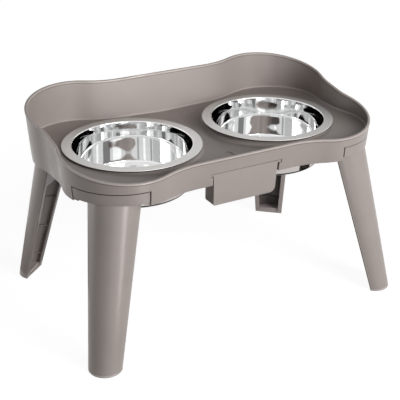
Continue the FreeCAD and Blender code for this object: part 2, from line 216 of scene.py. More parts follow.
class LoopWork:
    """A mesh that grows in edit mode, each loop of points extruded from the last."""

    def __init__(self, name: str) -> None:
        """Names the piece, which is empty at first."""
        self.name = name
        self.piece: Piece | None = None
        self.count = 0

    def start(self, points: Loop) -> int:
        """Adds a circle and moves its points to a first loop.

        Args:
            points: The loop's places in order.

        Returns:
            The loop's number.
        """
        if self.piece is None:
            Bench.clear()
            bpy.ops.mesh.primitive_circle_add(vertices=len(points), radius=MM, enter_editmode=True)
            self.piece = bpy.context.active_object
            self.piece.name = self.name
        else:
            bpy.ops.mesh.select_all(action="DESELECT")
            bpy.ops.mesh.primitive_circle_add(vertices=len(points), radius=MM)
        mesh = bmesh.from_edit_mesh(self.piece.data)
        for name in LOOP_LAYERS:
            if mesh.verts.layers.int.get(name) is None:
                mesh.verts.layers.int.new(name)
        station = mesh.verts.layers.int["station"]
        for index, vert in enumerate([v for v in mesh.verts if v.select]):
            vert[station] = index
        return self.place(points)

    def place(self, points: Loop) -> int:
        """Moves the selected loop to new places and returns its number."""
        mesh = bmesh.from_edit_mesh(self.piece.data)
        station = mesh.verts.layers.int["station"]
        ring = mesh.verts.layers.int["ring"]
        self.count += 1
        for vert in mesh.verts:
            if vert.select:
                vert.co = points[vert[station]]
                vert[ring] = self.count
        bmesh.update_edit_mesh(self.piece.data)
        return self.count

    def grow(self, loops: Iterable[Loop]) -> int:
        """Extrudes the selected loop through more loops and returns the last one's number."""
        for points in loops:
            bpy.ops.mesh.extrude_region_move()
            self.place(points)
        return self.count

    def pick(self, rings: Iterable[int], test: Callable[[Vector], bool] = lambda place: True) -> None:
        """Selects the edges that lie within some loops.

        Args:
            rings: Numbers of the loops.
            test: Says which places count.
        """
        wanted = set(rings)
        bpy.ops.mesh.select_mode(type="EDGE")
        bpy.ops.mesh.select_all(action="DESELECT")
        mesh = bmesh.from_edit_mesh(self.piece.data)
        ring = mesh.verts.layers.int["ring"]
        for edge in mesh.edges:
            if all(v[ring] in wanted and test(v.co) for v in edge.verts):
                edge.select_set(True)
        bmesh.update_edit_mesh(self.piece.data)

    def cap(self, ring: int) -> None:
        """Closes one loop with a face."""
        self.pick([ring])
        bpy.ops.mesh.edge_face_add()

    def tie(self, ring: int, test: Callable[[Vector], bool]) -> None:
        """Joins two points of a loop with an edge.

        Args:
            ring: The loop's number.
            test: True for the two points alone.
        """
        bpy.ops.mesh.select_mode(type="VERT")
        bpy.ops.mesh.select_all(action="DESELECT")
        mesh = bmesh.from_edit_mesh(self.piece.data)
        layer = mesh.verts.layers.int["ring"]
        for vert in mesh.verts:
            if vert[layer] == ring and test(vert.co):
                vert.select_set(True)
        bmesh.update_edit_mesh(self.piece.data)
        bpy.ops.mesh.edge_face_add()

    def mark(self, name: str, rings: Iterable[int]) -> None:
        """Gives the points of some loops the value 1 in a named layer.

        Args:
            name: The layer's name.
            rings: Numbers of the loops.
        """
        wanted = set(rings)
        mesh = bmesh.from_edit_mesh(self.piece.data)
        layer = mesh.verts.layers.float.new(name)
        ring = mesh.verts.layers.int["ring"]
        for vert in mesh.verts:
            vert[layer] = float(vert[ring] in wanted)
        bmesh.update_edit_mesh(self.piece.data)

    def done(self, angle: float = 30.0) -> Piece:
        """Leaves edit mode and returns the polished piece."""
        Bench.polish(self.piece, angle)
        return self.piece

    @staticmethod
    def solid(name: str, loops: Sequence[Loop], angle: float = 30.0) -> Piece:
        """Makes a closed solid through several loops, capped at both ends.

        Args:
            name: The piece's name.
            loops: The loops in order.
            angle: Degrees up to which it is shaded smooth.

        Returns:
            The solid.
        """
        work = LoopWork(name)
        first = work.start(loops[0])
        last = work.grow(loops[1:])
        work.cap(first)
        work.cap(last)
        return work.done(angle)

    @staticmethod
    def upright(name: str, shape: Pairs, low: float, high: float) -> Piece:
        """Makes an upright block from its plan, between two heights."""
        return LoopWork.solid(name, [[Vector((x, y, z)) for x, y in shape] for z in (low, high)])

    @staticmethod
    def spun(name: str, profile: Pairs, centre_x: float, steps: int, closed: bool, angle: float) -> Piece:
        """Spins an outline about an upright axis.

        Args:
            name: The piece's name.
            profile: Radii and heights of the outline's points.
            centre_x: Where the axis crosses the X axis.
            steps: Number of steps round.
            closed: Whether the outline's last point joins its first.
            angle: Degrees up to which it is shaded smooth.

        Returns:
            The round piece.
        """
        work = LoopWork(name)
        places = [Vector((centre_x + radius, 0.0, z)) for radius, z in profile]
        ring = work.start(places)
        if not closed:
            ends = (places[0], places[-1])
            work.pick([ring], lambda place: min((place - end).length for end in ends) < CLOSE)
            bpy.ops.mesh.delete(type="EDGE")
        bpy.ops.mesh.select_all(action="SELECT")
        bpy.ops.mesh.spin(steps=steps, angle=2 * math.pi, center=(centre_x, 0.0, 0.0), axis=(0.0, 0.0, 1.0))
        return work.done(angle)


def arc_angles(start: float, end: float, steps: int) -> list[float]:
    """Evenly spaced angles in radians, both ends included."""
    return [start + (end - start) * index / steps for index in range(steps + 1)]


def quarter_round(radius: float, steps: int) -> list[tuple[float, float]]:
    """How far a rounded edge stands back from its two sides, from (0, radius) to (radius, 0)."""
    turns = arc_angles(0, math.pi / 2, steps)
    return [(radius * (1 - math.cos(turn)), radius * (1 - math.sin(turn))) for turn in turns]


class Station(NamedTuple):
    """A point of the tray's plan with the direction that leads out of the tray."""

    x: float
    y: float
    out_x: float
    out_y: float


@dataclass(frozen=True)
class BonePlan:
    """The tray's plan at the skirt's lower edge: four round lobes joined by hollow sides."""

    lobe_x: float = 157.4 * MM
    lobe_y: float = 57.1 * MM
    lobe_radius: float = 81.0 * MM
    long_fillet: float = 157.0 * MM
    long_hollow: float = 15.1 * MM
    short_fillet: float = 96.4 * MM
    short_hollow: float = 5.9 * MM
    lobe_steps: int = 44
    long_steps: int = 18
    short_steps: int = 10
    straight_steps: int = 16

    @property
    def half_width(self) -> float:
        """Half the tray's width across its straight sides."""
        return self.lobe_y + self.lobe_radius - self.long_hollow

    @property
    def half_length(self) -> float:
        """Half the tray's length across its straight ends."""
        return self.lobe_x + self.lobe_radius - self.short_hollow

    def on_lobe(self, radius: float, angle: float) -> tuple[float, float]:
        """The point at a distance and direction from the centre of the lobe with positive X and Y."""
        return self.lobe_x + radius * math.cos(angle), self.lobe_y + radius * math.sin(angle)

    def chord(self, fillet: float, hollow: float) -> float:
        """Distance along a side from a lobe's centre to its fillet's centre."""
        reach = self.lobe_radius + fillet
        return math.sqrt(2 * hollow * reach - hollow * hollow)

    @staticmethod
    def arc(centre: Vector, radius: float, angles: Sequence[float], sign: int) -> list[Station]:
        """Stations round a centre.

        Args:
            centre: The arc's centre in the plan.
            radius: The arc's radius.
            angles: Directions from the centre, in radians.
            sign: 1 where the tray is inside the arc and -1 where it is outside.

        Returns:
            The stations in order.
        """
        found = []
        for angle in angles:
            x, y = math.cos(angle), math.sin(angle)
            found.append(Station(centre.x + radius * x, centre.y + radius * y, sign * x, sign * y))
        return found

    def quarter(self) -> list[Station]:
        """Stations of the quarter with positive X and Y, from the short side to the long one."""
        lobe = Vector((self.lobe_x, self.lobe_y))
        long_chord = self.chord(self.long_fillet, self.long_hollow)
        short_chord = self.chord(self.short_fillet, self.short_hollow)
        long_centre = Vector((self.lobe_x - long_chord, self.half_width + self.long_fillet))
        short_centre = Vector((self.half_length + self.short_fillet, self.lobe_y - short_chord))
        to_long = math.atan2(long_centre.y - lobe.y, long_centre.x - lobe.x)
        to_short = math.atan2(short_centre.y - lobe.y, short_centre.x - lobe.x)
        short_turn = arc_angles(math.pi, to_short + math.pi, self.short_steps)
        lobe_turn = arc_angles(to_short, to_long, self.lobe_steps)
        long_turn = arc_angles(to_long - math.pi, -math.pi / 2, self.long_steps)
        return (self.arc(short_centre, self.short_fillet, short_turn, -1)
                + self.arc(lobe, self.lobe_radius, lobe_turn, 1)[1:]
                + self.arc(long_centre, self.long_fillet, long_turn, -1)[1:])

    def outline(self) -> list[Station]:
        """Stations all round the tray, against the clock."""
        runs = []
        for side_x, side_y in ((1, 1), (-1, 1), (-1, -1), (1, -1)):
            run = [Station(s.x * side_x, s.y * side_y, s.out_x * side_x, s.out_y * side_y)
                   for s in self.quarter()]
            runs.append(run if side_x * side_y > 0 else run[::-1])
        found = []
        for index, run in enumerate(runs):
            found += run
            last, following = run[-1], runs[(index + 1) % len(runs)][0]
            for step in range(1, self.straight_steps):
                part = step / self.straight_steps
                x = last.x + (following.x - last.x) * part
                y = last.y + (following.y - last.y) * part
                found.append(Station(x, y, last.out_x, last.out_y))
        return found


@dataclass(frozen=True)
class LegPlan:
    """Where the legs stand and how they taper, for the leg with positive X and Y."""

    plan: BonePlan = BonePlan()
    base: float = STAND_HEIGHT
    top_radius: float = 36.2 * MM
    foot_radius: float = 23.6 * MM
    wall: float = WALL
    splay_width: float = 45.2 * MM
    rear_splay_width: float = 39.2 * MM
    splay_depth: float = 51.2 * MM
    seat_angle: float = math.radians(53.3)
    face_angle: float = math.radians(49.0)
    proud: float = 0.8 * MM
    lip_thickness: float = 2.6 * MM
    flange_angle: float = math.radians(52.4)
    flange_half_angle: float = math.radians(39.9)
    flange_base: float = 228.0 * MM
    flange_top: float = 243.6 * MM
    flange_side_gap: float = 2.2 * MM
    gap: float = 0.4 * MM

    @classmethod
    def at(cls, corner: Corner) -> "LegPlan":
        """The plan for one corner, since the rear legs splay less along the tray."""
        return cls(splay_width=cls.rear_splay_width) if corner.value[1] > 0 else cls()

    @property
    def outward(self) -> Vector:
        """The way a leg's round back faces."""
        return Vector((math.cos(self.face_angle), math.sin(self.face_angle), 0.0))

    @property
    def sideways(self) -> Vector:
        """The way across a leg."""
        return Vector((-math.sin(self.face_angle), math.cos(self.face_angle), 0.0))

    def centre(self, z: float) -> Vector:
        """The middle of a leg's open side at one height."""
        reach = self.plan.lobe_radius + self.proud - self.top_radius
        top = Vector((*self.plan.on_lobe(reach, self.seat_angle), z))
        return top + Vector((self.splay_width, self.splay_depth, 0.0)) * ((self.base - z) / self.base)

    def radius(self, z: float) -> float:
        """A leg's outer radius at one height."""
        return self.top_radius + (self.foot_radius - self.top_radius) * (self.base - z) / self.base

    def place(self, out: float, across: float, z: float) -> Vector:
        """A point in a leg's own directions at one height."""
        return self.centre(z) + self.outward * out + self.sideways * across


@dataclass(frozen=True)
class Tray:
    """The moulded splash tray with bowl collars, leg notches, tongues, drawer notch and drain."""

    plan: BonePlan = BonePlan()
    legs: LegPlan = LegPlan()
    base: float = STAND_HEIGHT
    wall: float = WALL
    flare: float = math.tan(math.radians(4.2))
    rim_middle: float = RIM_MIDDLE
    rim_slope: float = RIM_SLOPE
    floor_middle: float = 242.4 * MM
    floor_slope: float = 7.85 / 214.0
    floor_thickness: float = 1.8 * MM
    floor_fillet: float = 3.0 * MM
    skirt_round: float = 0.9 * MM
    bead_width: float = 0.5 * MM
    bead_height: float = 2.3 * MM
    bead_round: float = 0.7 * MM
    bowl_x: float = BOWL_X
    collar_radius: float = 97.8 * MM
    collar_top: float = SEAT_TOP
    collar_band: float = 4.0 * MM
    collar_flare: float = 8.0 / 9.0
    collar_round: float = 0.9 * MM
    collar_foot: float = 1.3 * MM
    collar_ease: float = 0.35 * MM
    band_out: float = 0.5 * MM
    band_low: float = 0.6 * MM
    band_high: float = 0.1 * MM
    band_clear: float = 0.9 * MM
    collar_steps: int = 144
    hole_radius: float = 88.8 * MM
    groove_half: float = 1.25 * MM
    groove_depth: float = 1.5 * MM
    notch_top: float = 244.5 * MM
    stop_width: float = 7.0 * MM
    stop_thickness: float = 2.0 * MM
    stop_root: float = 0.3 * MM
    skirt_lap: float = 0.4 * MM
    tongue_end: float = 168.0 * MM
    tongue_thickness: float = 3.0 * MM
    drawer_half: float = DRAWER_HALF
    drawer_gap: float = 1.6 * MM
    drawer_depth: float = DRAWER_DEPTH
    ear_half: float = EAR_HALF
    ledge_top: float = 235.7 * MM
    rail: float = 2.2 * MM
    guide_gap: float = 0.1 * MM
    roof_gap: float = 0.05 * MM
    gutter_half: float = 5.0 * MM
    gutter_length: float = 44.0 * MM
    gutter_depth: float = 0.8 * MM
    gutter_start: float = 2.0 * MM
    drain_length: float = 9.0 * MM
    drain_margin: float = 0.6 * MM
    cut_reach: float = 20.0 * MM
    cut_height: float = 8.0 * MM
    cut_drop: float = 2.0 * MM

    def floor(self, x: float) -> float:
        """Height of the floor, which falls to the middle of the tray."""
        return self.floor_middle + self.floor_slope * abs(x)

    def section(self, station: Station) -> Loop:
        """The wall's section at one station, from the underside over the rim to the floor.

        Args:
            station: Where the section is taken.

        Returns:
            The section's points in order.
        """
        def place(inset: float, z: float) -> Vector:
            out = self.flare * (z - self.base) - inset
            return Vector((station.x + station.out_x * out, station.y + station.out_y * out, z))

        def on_floor(inset: float, lift: float) -> Vector:
            return place(inset, self.floor(place(inset, self.floor_middle).x) + lift)

        edge = quarter_round(self.skirt_round, 3)
        points = [on_floor(self.wall, -self.floor_thickness)]
        points += [place(self.wall - across, self.base + up) for across, up in edge]
        points += [place(across, self.base + up) for across, up in edge[::-1]]
        lean = self.rim_slope * station.out_y * self.flare
        rim = (self.rim_middle + self.rim_slope * station.y - lean * self.base) / (1 - lean)
        points.append(place(0.0, (self.base + rim) / 2))
        points += self.bead(place, rim, self.rim_slope * station.out_y)
        points.append(place(self.wall, (rim + self.floor(station.x)) / 2))
        fillet = quarter_round(self.floor_fillet, 5)
        return points + [on_floor(self.wall + across, up) for across, up in fillet]

    def bead(self, place: Callable[[float, float], Vector], rim: float, tilt: float) -> Loop:
        """The flat rim's section with a small bead at each edge, from the outer side to the inner one.

        Args:
            place: Gives the point at a distance inward of the wall's outer face and at a height.
            rim: Height of the rim's outer edge.
            tilt: How far the rim falls towards the inside, per length.

        Returns:
            The section's points in order.
        """
        edge, low = quarter_round(self.bead_round, 3), rim - self.bead_height
        inner, fall = self.wall + self.bead_width, tilt * self.wall
        points = [place(0.0, low - self.bead_width / 2), place(-self.bead_width, low)]
        points += [place(across - self.bead_width, rim - down) for across, down in edge]
        points.append(place(self.wall / 2, rim - fall / 2))
        points += [place(inner - across, rim - fall - down) for across, down in edge[::-1]]
        return points + [place(inner, low - fall), place(self.wall, low - fall - self.bead_width / 2)]

    def collar_section(self, side: int, angle: float) -> Loop:
        """A collar's section in one direction, from the floor over the seat to the underside.

        Args:
            side: Which bowl, -1 or 1.
            angle: Direction from the bowl's centre, in radians.

        Returns:
            The section's points in order.
        """
        centre = Vector((side * self.bowl_x, 0.0, 0.0))
        ray = Vector((math.cos(angle), math.sin(angle), 0.0))

        def place(radius: float, z: float) -> Vector:
            return centre + ray * radius + Vector((0.0, 0.0, z))

        band = self.collar_top - self.collar_band
        radius, z = self.collar_radius, band
        for _ in range(12):
            z = self.floor(centre.x + ray.x * radius)
            radius = self.collar_radius + self.collar_flare * max(0.0, band - z)
        foot, edge, top = radius + self.collar_foot, quarter_round(self.collar_round, 3), self.collar_top
        groove, ease = (self.hole_radius + self.collar_radius) / 2, self.collar_ease
        points = [place(foot, self.floor(centre.x + ray.x * foot)), place(radius + ease, z + ease)]
        points.append(place(self.collar_radius + self.band_out, max(band - self.band_low, z + self.band_low)))
        points.append(place(self.collar_radius, max(band + self.band_high, z + self.band_clear)))
        points += [place(self.collar_radius - across, top - down) for across, down in edge]
        for way, drop in ((1, 0.0), (1, self.groove_depth), (-1, self.groove_depth), (-1, 0.0)):
            points.append(place(groove + way * self.groove_half, top - drop))
        points += [place(self.hole_radius + across, top - down) for across, down in edge[::-1]]
        under = self.floor(centre.x + ray.x * self.hole_radius) - self.floor_thickness
        return points + [place(self.hole_radius, under)]

    def shell(self) -> Piece:
        """Skirt, floor, splash wall and collars, as one closed skin."""
        work = LoopWork("tray_shell")
        sections = [self.section(station) for station in self.plan.outline()]
        loops = [list(points) for points in zip(*sections)]
        under = work.start(loops[0])
        floor = work.grow(loops[1:])
        feet, holes = [], []
        for side in (-1, 1):
            turns = arc_angles(0, 2 * math.pi, self.collar_steps)[:-1]
            loops = [list(points) for points in zip(*[self.collar_section(side, turn) for turn in turns])]
            feet.append(work.start(loops[0]))
            holes.append(work.grow(loops[1:]))
        for ring, openings in ((floor, feet), (under, holes)):
            work.tie(ring, lambda place: abs(place.x) < CLOSE)
            for side, opening in zip((-1, 1), openings):
                work.pick([ring, opening], lambda place, side=side: place.x * side > -CLOSE)
                bpy.ops.mesh.fill(use_beauty=True)
        # Marks the floor fillet's loops for the tray's painted highlight.
        work.mark(FILLET_HIGHLIGHT, (floor - 3, floor - 2))
        return work.done(SMOOTH_ANGLE)

    def flange_notch(self, corner: Corner) -> Piece:
        """The block, bent round a lobe, that opens the skirt for one leg's flange."""
        side_x, side_y = corner.value
        middle, half = self.legs.flange_angle, self.legs.flange_half_angle
        turns = arc_angles(middle - half, middle + half, 24)
        trip = [self.plan.on_lobe(self.plan.lobe_radius + self.cut_reach, t) for t in turns]
        trip += [self.plan.on_lobe(self.plan.lobe_radius - 2 * self.wall, t) for t in turns[::-1]]
        shape = [(side_x * x, side_y * y) for x, y in trip]
        return LoopWork.upright("flange_notch", shape, self.base - self.cut_drop, self.notch_top)

    def stop(self, corner: Corner, end: int) -> Piece:
        """The rib behind one end of a notch, which the leg's flange stands in front of.

        Args:
            corner: Which leg.
            end: Which end of the notch, -1 or 1.

        Returns:
            The rib.
        """
        side_x, side_y = corner.value
        radius = self.plan.lobe_radius
        reach = radius - self.wall - self.legs.gap
        edge = self.legs.flange_angle + end * self.legs.flange_half_angle
        inner, outer = edge - end * self.stop_width / radius, edge + end * self.stop_thickness / radius
        root = edge + end * self.stop_root / radius
        trip = [(reach - self.stop_thickness, t) for t in arc_angles(inner, outer, 6)]
        trip += [(radius - self.wall / 2, t) for t in arc_angles(outer, root, 3)]
        trip += [(reach, t) for t in arc_angles(root, inner, 5)]
        loops = [[], []]
        for r, t in trip:
            x, y = self.plan.on_lobe(r, t)
            loops[0].append(Vector((side_x * x, side_y * y, self.base + self.skirt_lap)))
            loops[1].append(Vector((side_x * x, side_y * y, self.floor(x) - self.floor_thickness / 2)))
        return LoopWork.solid("flange_stop", loops)

    def tongue(self, corner: Corner) -> Piece:
        """The T-shaped tongue that one leg slides over."""
        side_x, side_y = corner.value
        legs = LegPlan.at(corner)

        def section(top: bool) -> Loop:
            z = self.floor(self.plan.lobe_x) if top else self.tongue_end
            inner = legs.radius(z) - legs.wall
            start = legs.lip_thickness + legs.gap
            end = start + self.tongue_thickness
            wide = math.sqrt(inner ** 2 - end ** 2) - legs.gap
            thin = self.tongue_thickness / 2
            tip = inner - legs.gap
            shape = [(start, -wide), (end, -wide), (end, -thin), (tip, -thin),
                     (tip, thin), (end, thin), (end, wide), (start, wide)]
            found = []
            for out, across in shape:
                place = legs.place(out, across, z)
                if top:
                    place = legs.place(out, across, self.floor(place.x) - self.floor_thickness / 2)
                found.append(Vector((place.x * side_x, place.y * side_y, place.z)))
            return found

        return LoopWork.solid("tongue", [section(False), section(True)])

    def rail_piece(self, side: int) -> Piece:
        """One rail under the floor, which carries an ear of the drawer and guides its side."""
        web, ledge = self.ear_half + self.legs.gap, self.drawer_half + self.drawer_gap
        outer, low = web + self.rail, self.ledge_top - self.rail
        foot, inner, back = self.base + self.skirt_lap, ledge + self.guide_gap, ledge + self.rail
        shape = [(outer, low), (outer, None), (web, None), (web, self.ledge_top), (inner, self.ledge_top),
                 (inner, foot), (back, foot), (back, low)]
        loops = []
        for y in (self.wall / 2 - self.plan.half_width, self.drawer_depth - self.plan.half_width):
            loops.append([Vector((side * x, y, self.floor(x) - self.floor_thickness / 2 if z is None else z))
                          for x, z in shape])
        return LoopWork.solid("rail", loops)

    def drawer_notch(self) -> Piece:
        """The T-shaped block that opens the front skirt for the drawer."""
        stem, bar = self.drawer_half + self.drawer_gap, self.ear_half + self.legs.gap
        roof = self.floor_middle - self.floor_thickness - self.roof_gap
        low = self.base - self.cut_drop
        shape = [(-stem, low), (stem, low), (stem, self.ledge_top), (bar, self.ledge_top), (bar, roof),
                 (-bar, roof), (-bar, self.ledge_top), (-stem, self.ledge_top)]
        front, back = -self.plan.half_width - self.cut_reach, -self.plan.half_width + 2 * self.wall
        return LoopWork.solid("drawer_notch", [[Vector((x, y, z)) for x, z in shape] for y in (front, back)])

    def gutter(self) -> Piece:
        """The shallow trough in the floor that leads to the drain."""
        half = self.gutter_half
        front = -self.plan.half_width + self.wall + self.gutter_start
        end = front + self.gutter_length
        shape = [(-half, front), (half, front)]
        shape += [(half * math.cos(t), end + half * math.sin(t)) for t in arc_angles(0, math.pi, 16)]
        low, high = self.floor_middle - self.gutter_depth, self.floor_middle + self.cut_height
        return LoopWork.upright("gutter", shape, low, high)

    def drain(self) -> Piece:
        """The hole over the drawer at the gutter's front end."""
        half = self.gutter_half - self.drain_margin
        front = -self.plan.half_width + self.wall + self.gutter_start + self.drain_margin
        back = front + self.drain_length
        shape = [(-half, front), (half, front), (half, back), (-half, back)]
        low, high = self.floor_middle - self.cut_height, self.floor_middle + self.cut_height
        return LoopWork.upright("drain", shape, low, high)

    def build(self) -> Piece:
        """Makes the whole tray and returns it."""
        tray = self.shell()
        cuts = [self.flange_notch(corner) for corner in Corner]
        Bench.carve(tray, Bench.join(cuts + [self.drawer_notch()]), Cut.TAKE)
        adds = [self.tongue(corner) for corner in Corner] + [self.rail_piece(side) for side in (-1, 1)]
        adds += [self.stop(corner, end) for corner in Corner for end in (-1, 1)]
        Bench.carve(tray, Bench.join(adds), Cut.ADD)
        Bench.carve(tray, self.gutter(), Cut.TAKE)
        Bench.carve(tray, self.drain(), Cut.TAKE)
        Bench.polish(tray, SMOOTH_ANGLE)
        tray.name = "splash_tray"
        return tray


@dataclass(frozen=True)
class Bowl:
    """A spun steel bowl with a flat satin rim, a round lower corner and a curled outer edge."""

    centre_x: float = BOWL_X
    rim_top: float = 253.8 * MM
    rim_radius: float = 100.0 * MM
    opening_radius: float = 86.5 * MM
    rim_round: float = 1.4 * MM
    depth: float = 64.5 * MM
    corner_radius: float = 3.0 * MM
    draft: float = math.radians(4.0)
    sheet: float = 0.9 * MM
    curl_drop: float = 1.9 * MM
    curl_round: float = 1.1 * MM
    curl_tip: tuple[tuple[float, float], ...] = (
        (0.1 * MM, 0.1 * MM), (0.5 * MM, 0.0), (0.85 * MM, 0.15 * MM), (0.95 * MM, 0.5 * MM))
    steps: int = 180
    smooth_angle: float = 40.0

    def face(self, outset: float) -> list[tuple[float, float]]:
        """One face of the sheet from the middle of the bottom to the rim, as radius and height.

        Args:
            outset: How far the face lies outside the inner face.

        Returns:
            The face's points.
        """
        wall_radius = self.opening_radius - self.rim_round
        turn = math.pi / 2 - self.draft
        bottom = self.rim_top - self.depth + self.sheet
        rim_z = self.rim_top - self.rim_round
        corner_z = bottom + self.corner_radius
        foot = wall_radius + self.rim_round * (1 - 1 / math.cos(self.draft))
        lean = (rim_z - corner_z) * math.tan(self.draft)
        corner_x = foot - lean - self.corner_radius / math.cos(self.draft)
        points = [(corner_x * part, bottom - outset) for part in (0.0, 0.25, 0.5, 0.75)]
        for angle in arc_angles(0, turn, 12):
            points.append((corner_x + (self.corner_radius + outset) * math.sin(angle),
                           corner_z - (self.corner_radius + outset) * math.cos(angle)))
        low_r, low_z = points[-1]
        bend = self.rim_round - outset
        first = (self.opening_radius - bend * math.cos(self.draft), rim_z + bend * math.sin(self.draft))
        for part in (0.2, 0.4, 0.6, 0.8):
            points.append((low_r + (first[0] - low_r) * part, low_z + (first[1] - low_z) * part))
        for angle in arc_angles(self.draft, math.pi / 2, 8):
            points.append((self.opening_radius - bend * math.cos(angle), rim_z + bend * math.sin(angle)))
        return points

    def build(self) -> Piece:
        """Spins the bowl on the right and returns it."""
        inner = self.face(0.0)
        outer = self.face(self.sheet)
        end = self.rim_radius - self.curl_round
        flat = [(self.opening_radius + (end - self.opening_radius) * part, self.rim_top)
                for part in (0.25, 0.5, 0.75)]
        low = self.rim_top - self.curl_drop
        edge = quarter_round(self.curl_round, 5)
        curl = [(self.rim_radius - inward, self.rim_top - down) for inward, down in edge[::-1]]
        curl += [(self.rim_radius - inward, low + up) for inward, up in self.curl_tip]
        curl.append((end, self.rim_top - self.sheet))
        profile = inner + flat + curl + outer[::-1]
        return LoopWork.spun("bowl_model", profile, self.centre_x, self.steps, False, self.smooth_angle)


@dataclass(frozen=True)
class SeatRing:
    """The soft dark ring between a bowl's rim and its collar, with a key into the collar's groove."""

    centre_x: float = BOWL_X
    inner: float = 90.2 * MM
    outer: float = 98.6 * MM
    low: float = SEAT_TOP
    high: float = 252.7 * MM
    key_middle: float = 93.3 * MM
    key_half: float = 1.2 * MM
    key_depth: float = 1.4 * MM
    edge: float = 0.5 * MM
    steps: int = 144
    smooth_angle: float = 50.0

    def build(self) -> Piece:
        """Spins the ring on the right and returns it."""
        edge = quarter_round(self.edge, 4)
        profile = [(self.outer - across, self.high - down) for across, down in edge]
        profile += [(self.inner + across, self.high - down) for across, down in edge[::-1]]
        profile.append((self.inner, self.low))
        key_low = self.low - self.key_depth
        for way, z in ((-1, self.low), (-1, key_low), (1, key_low), (1, self.low)):
            profile.append((self.key_middle + way * self.key_half, z))
        profile.append((self.outer, self.low))
        return LoopWork.spun("ring_model", profile, self.centre_x, self.steps, True, self.smooth_angle)


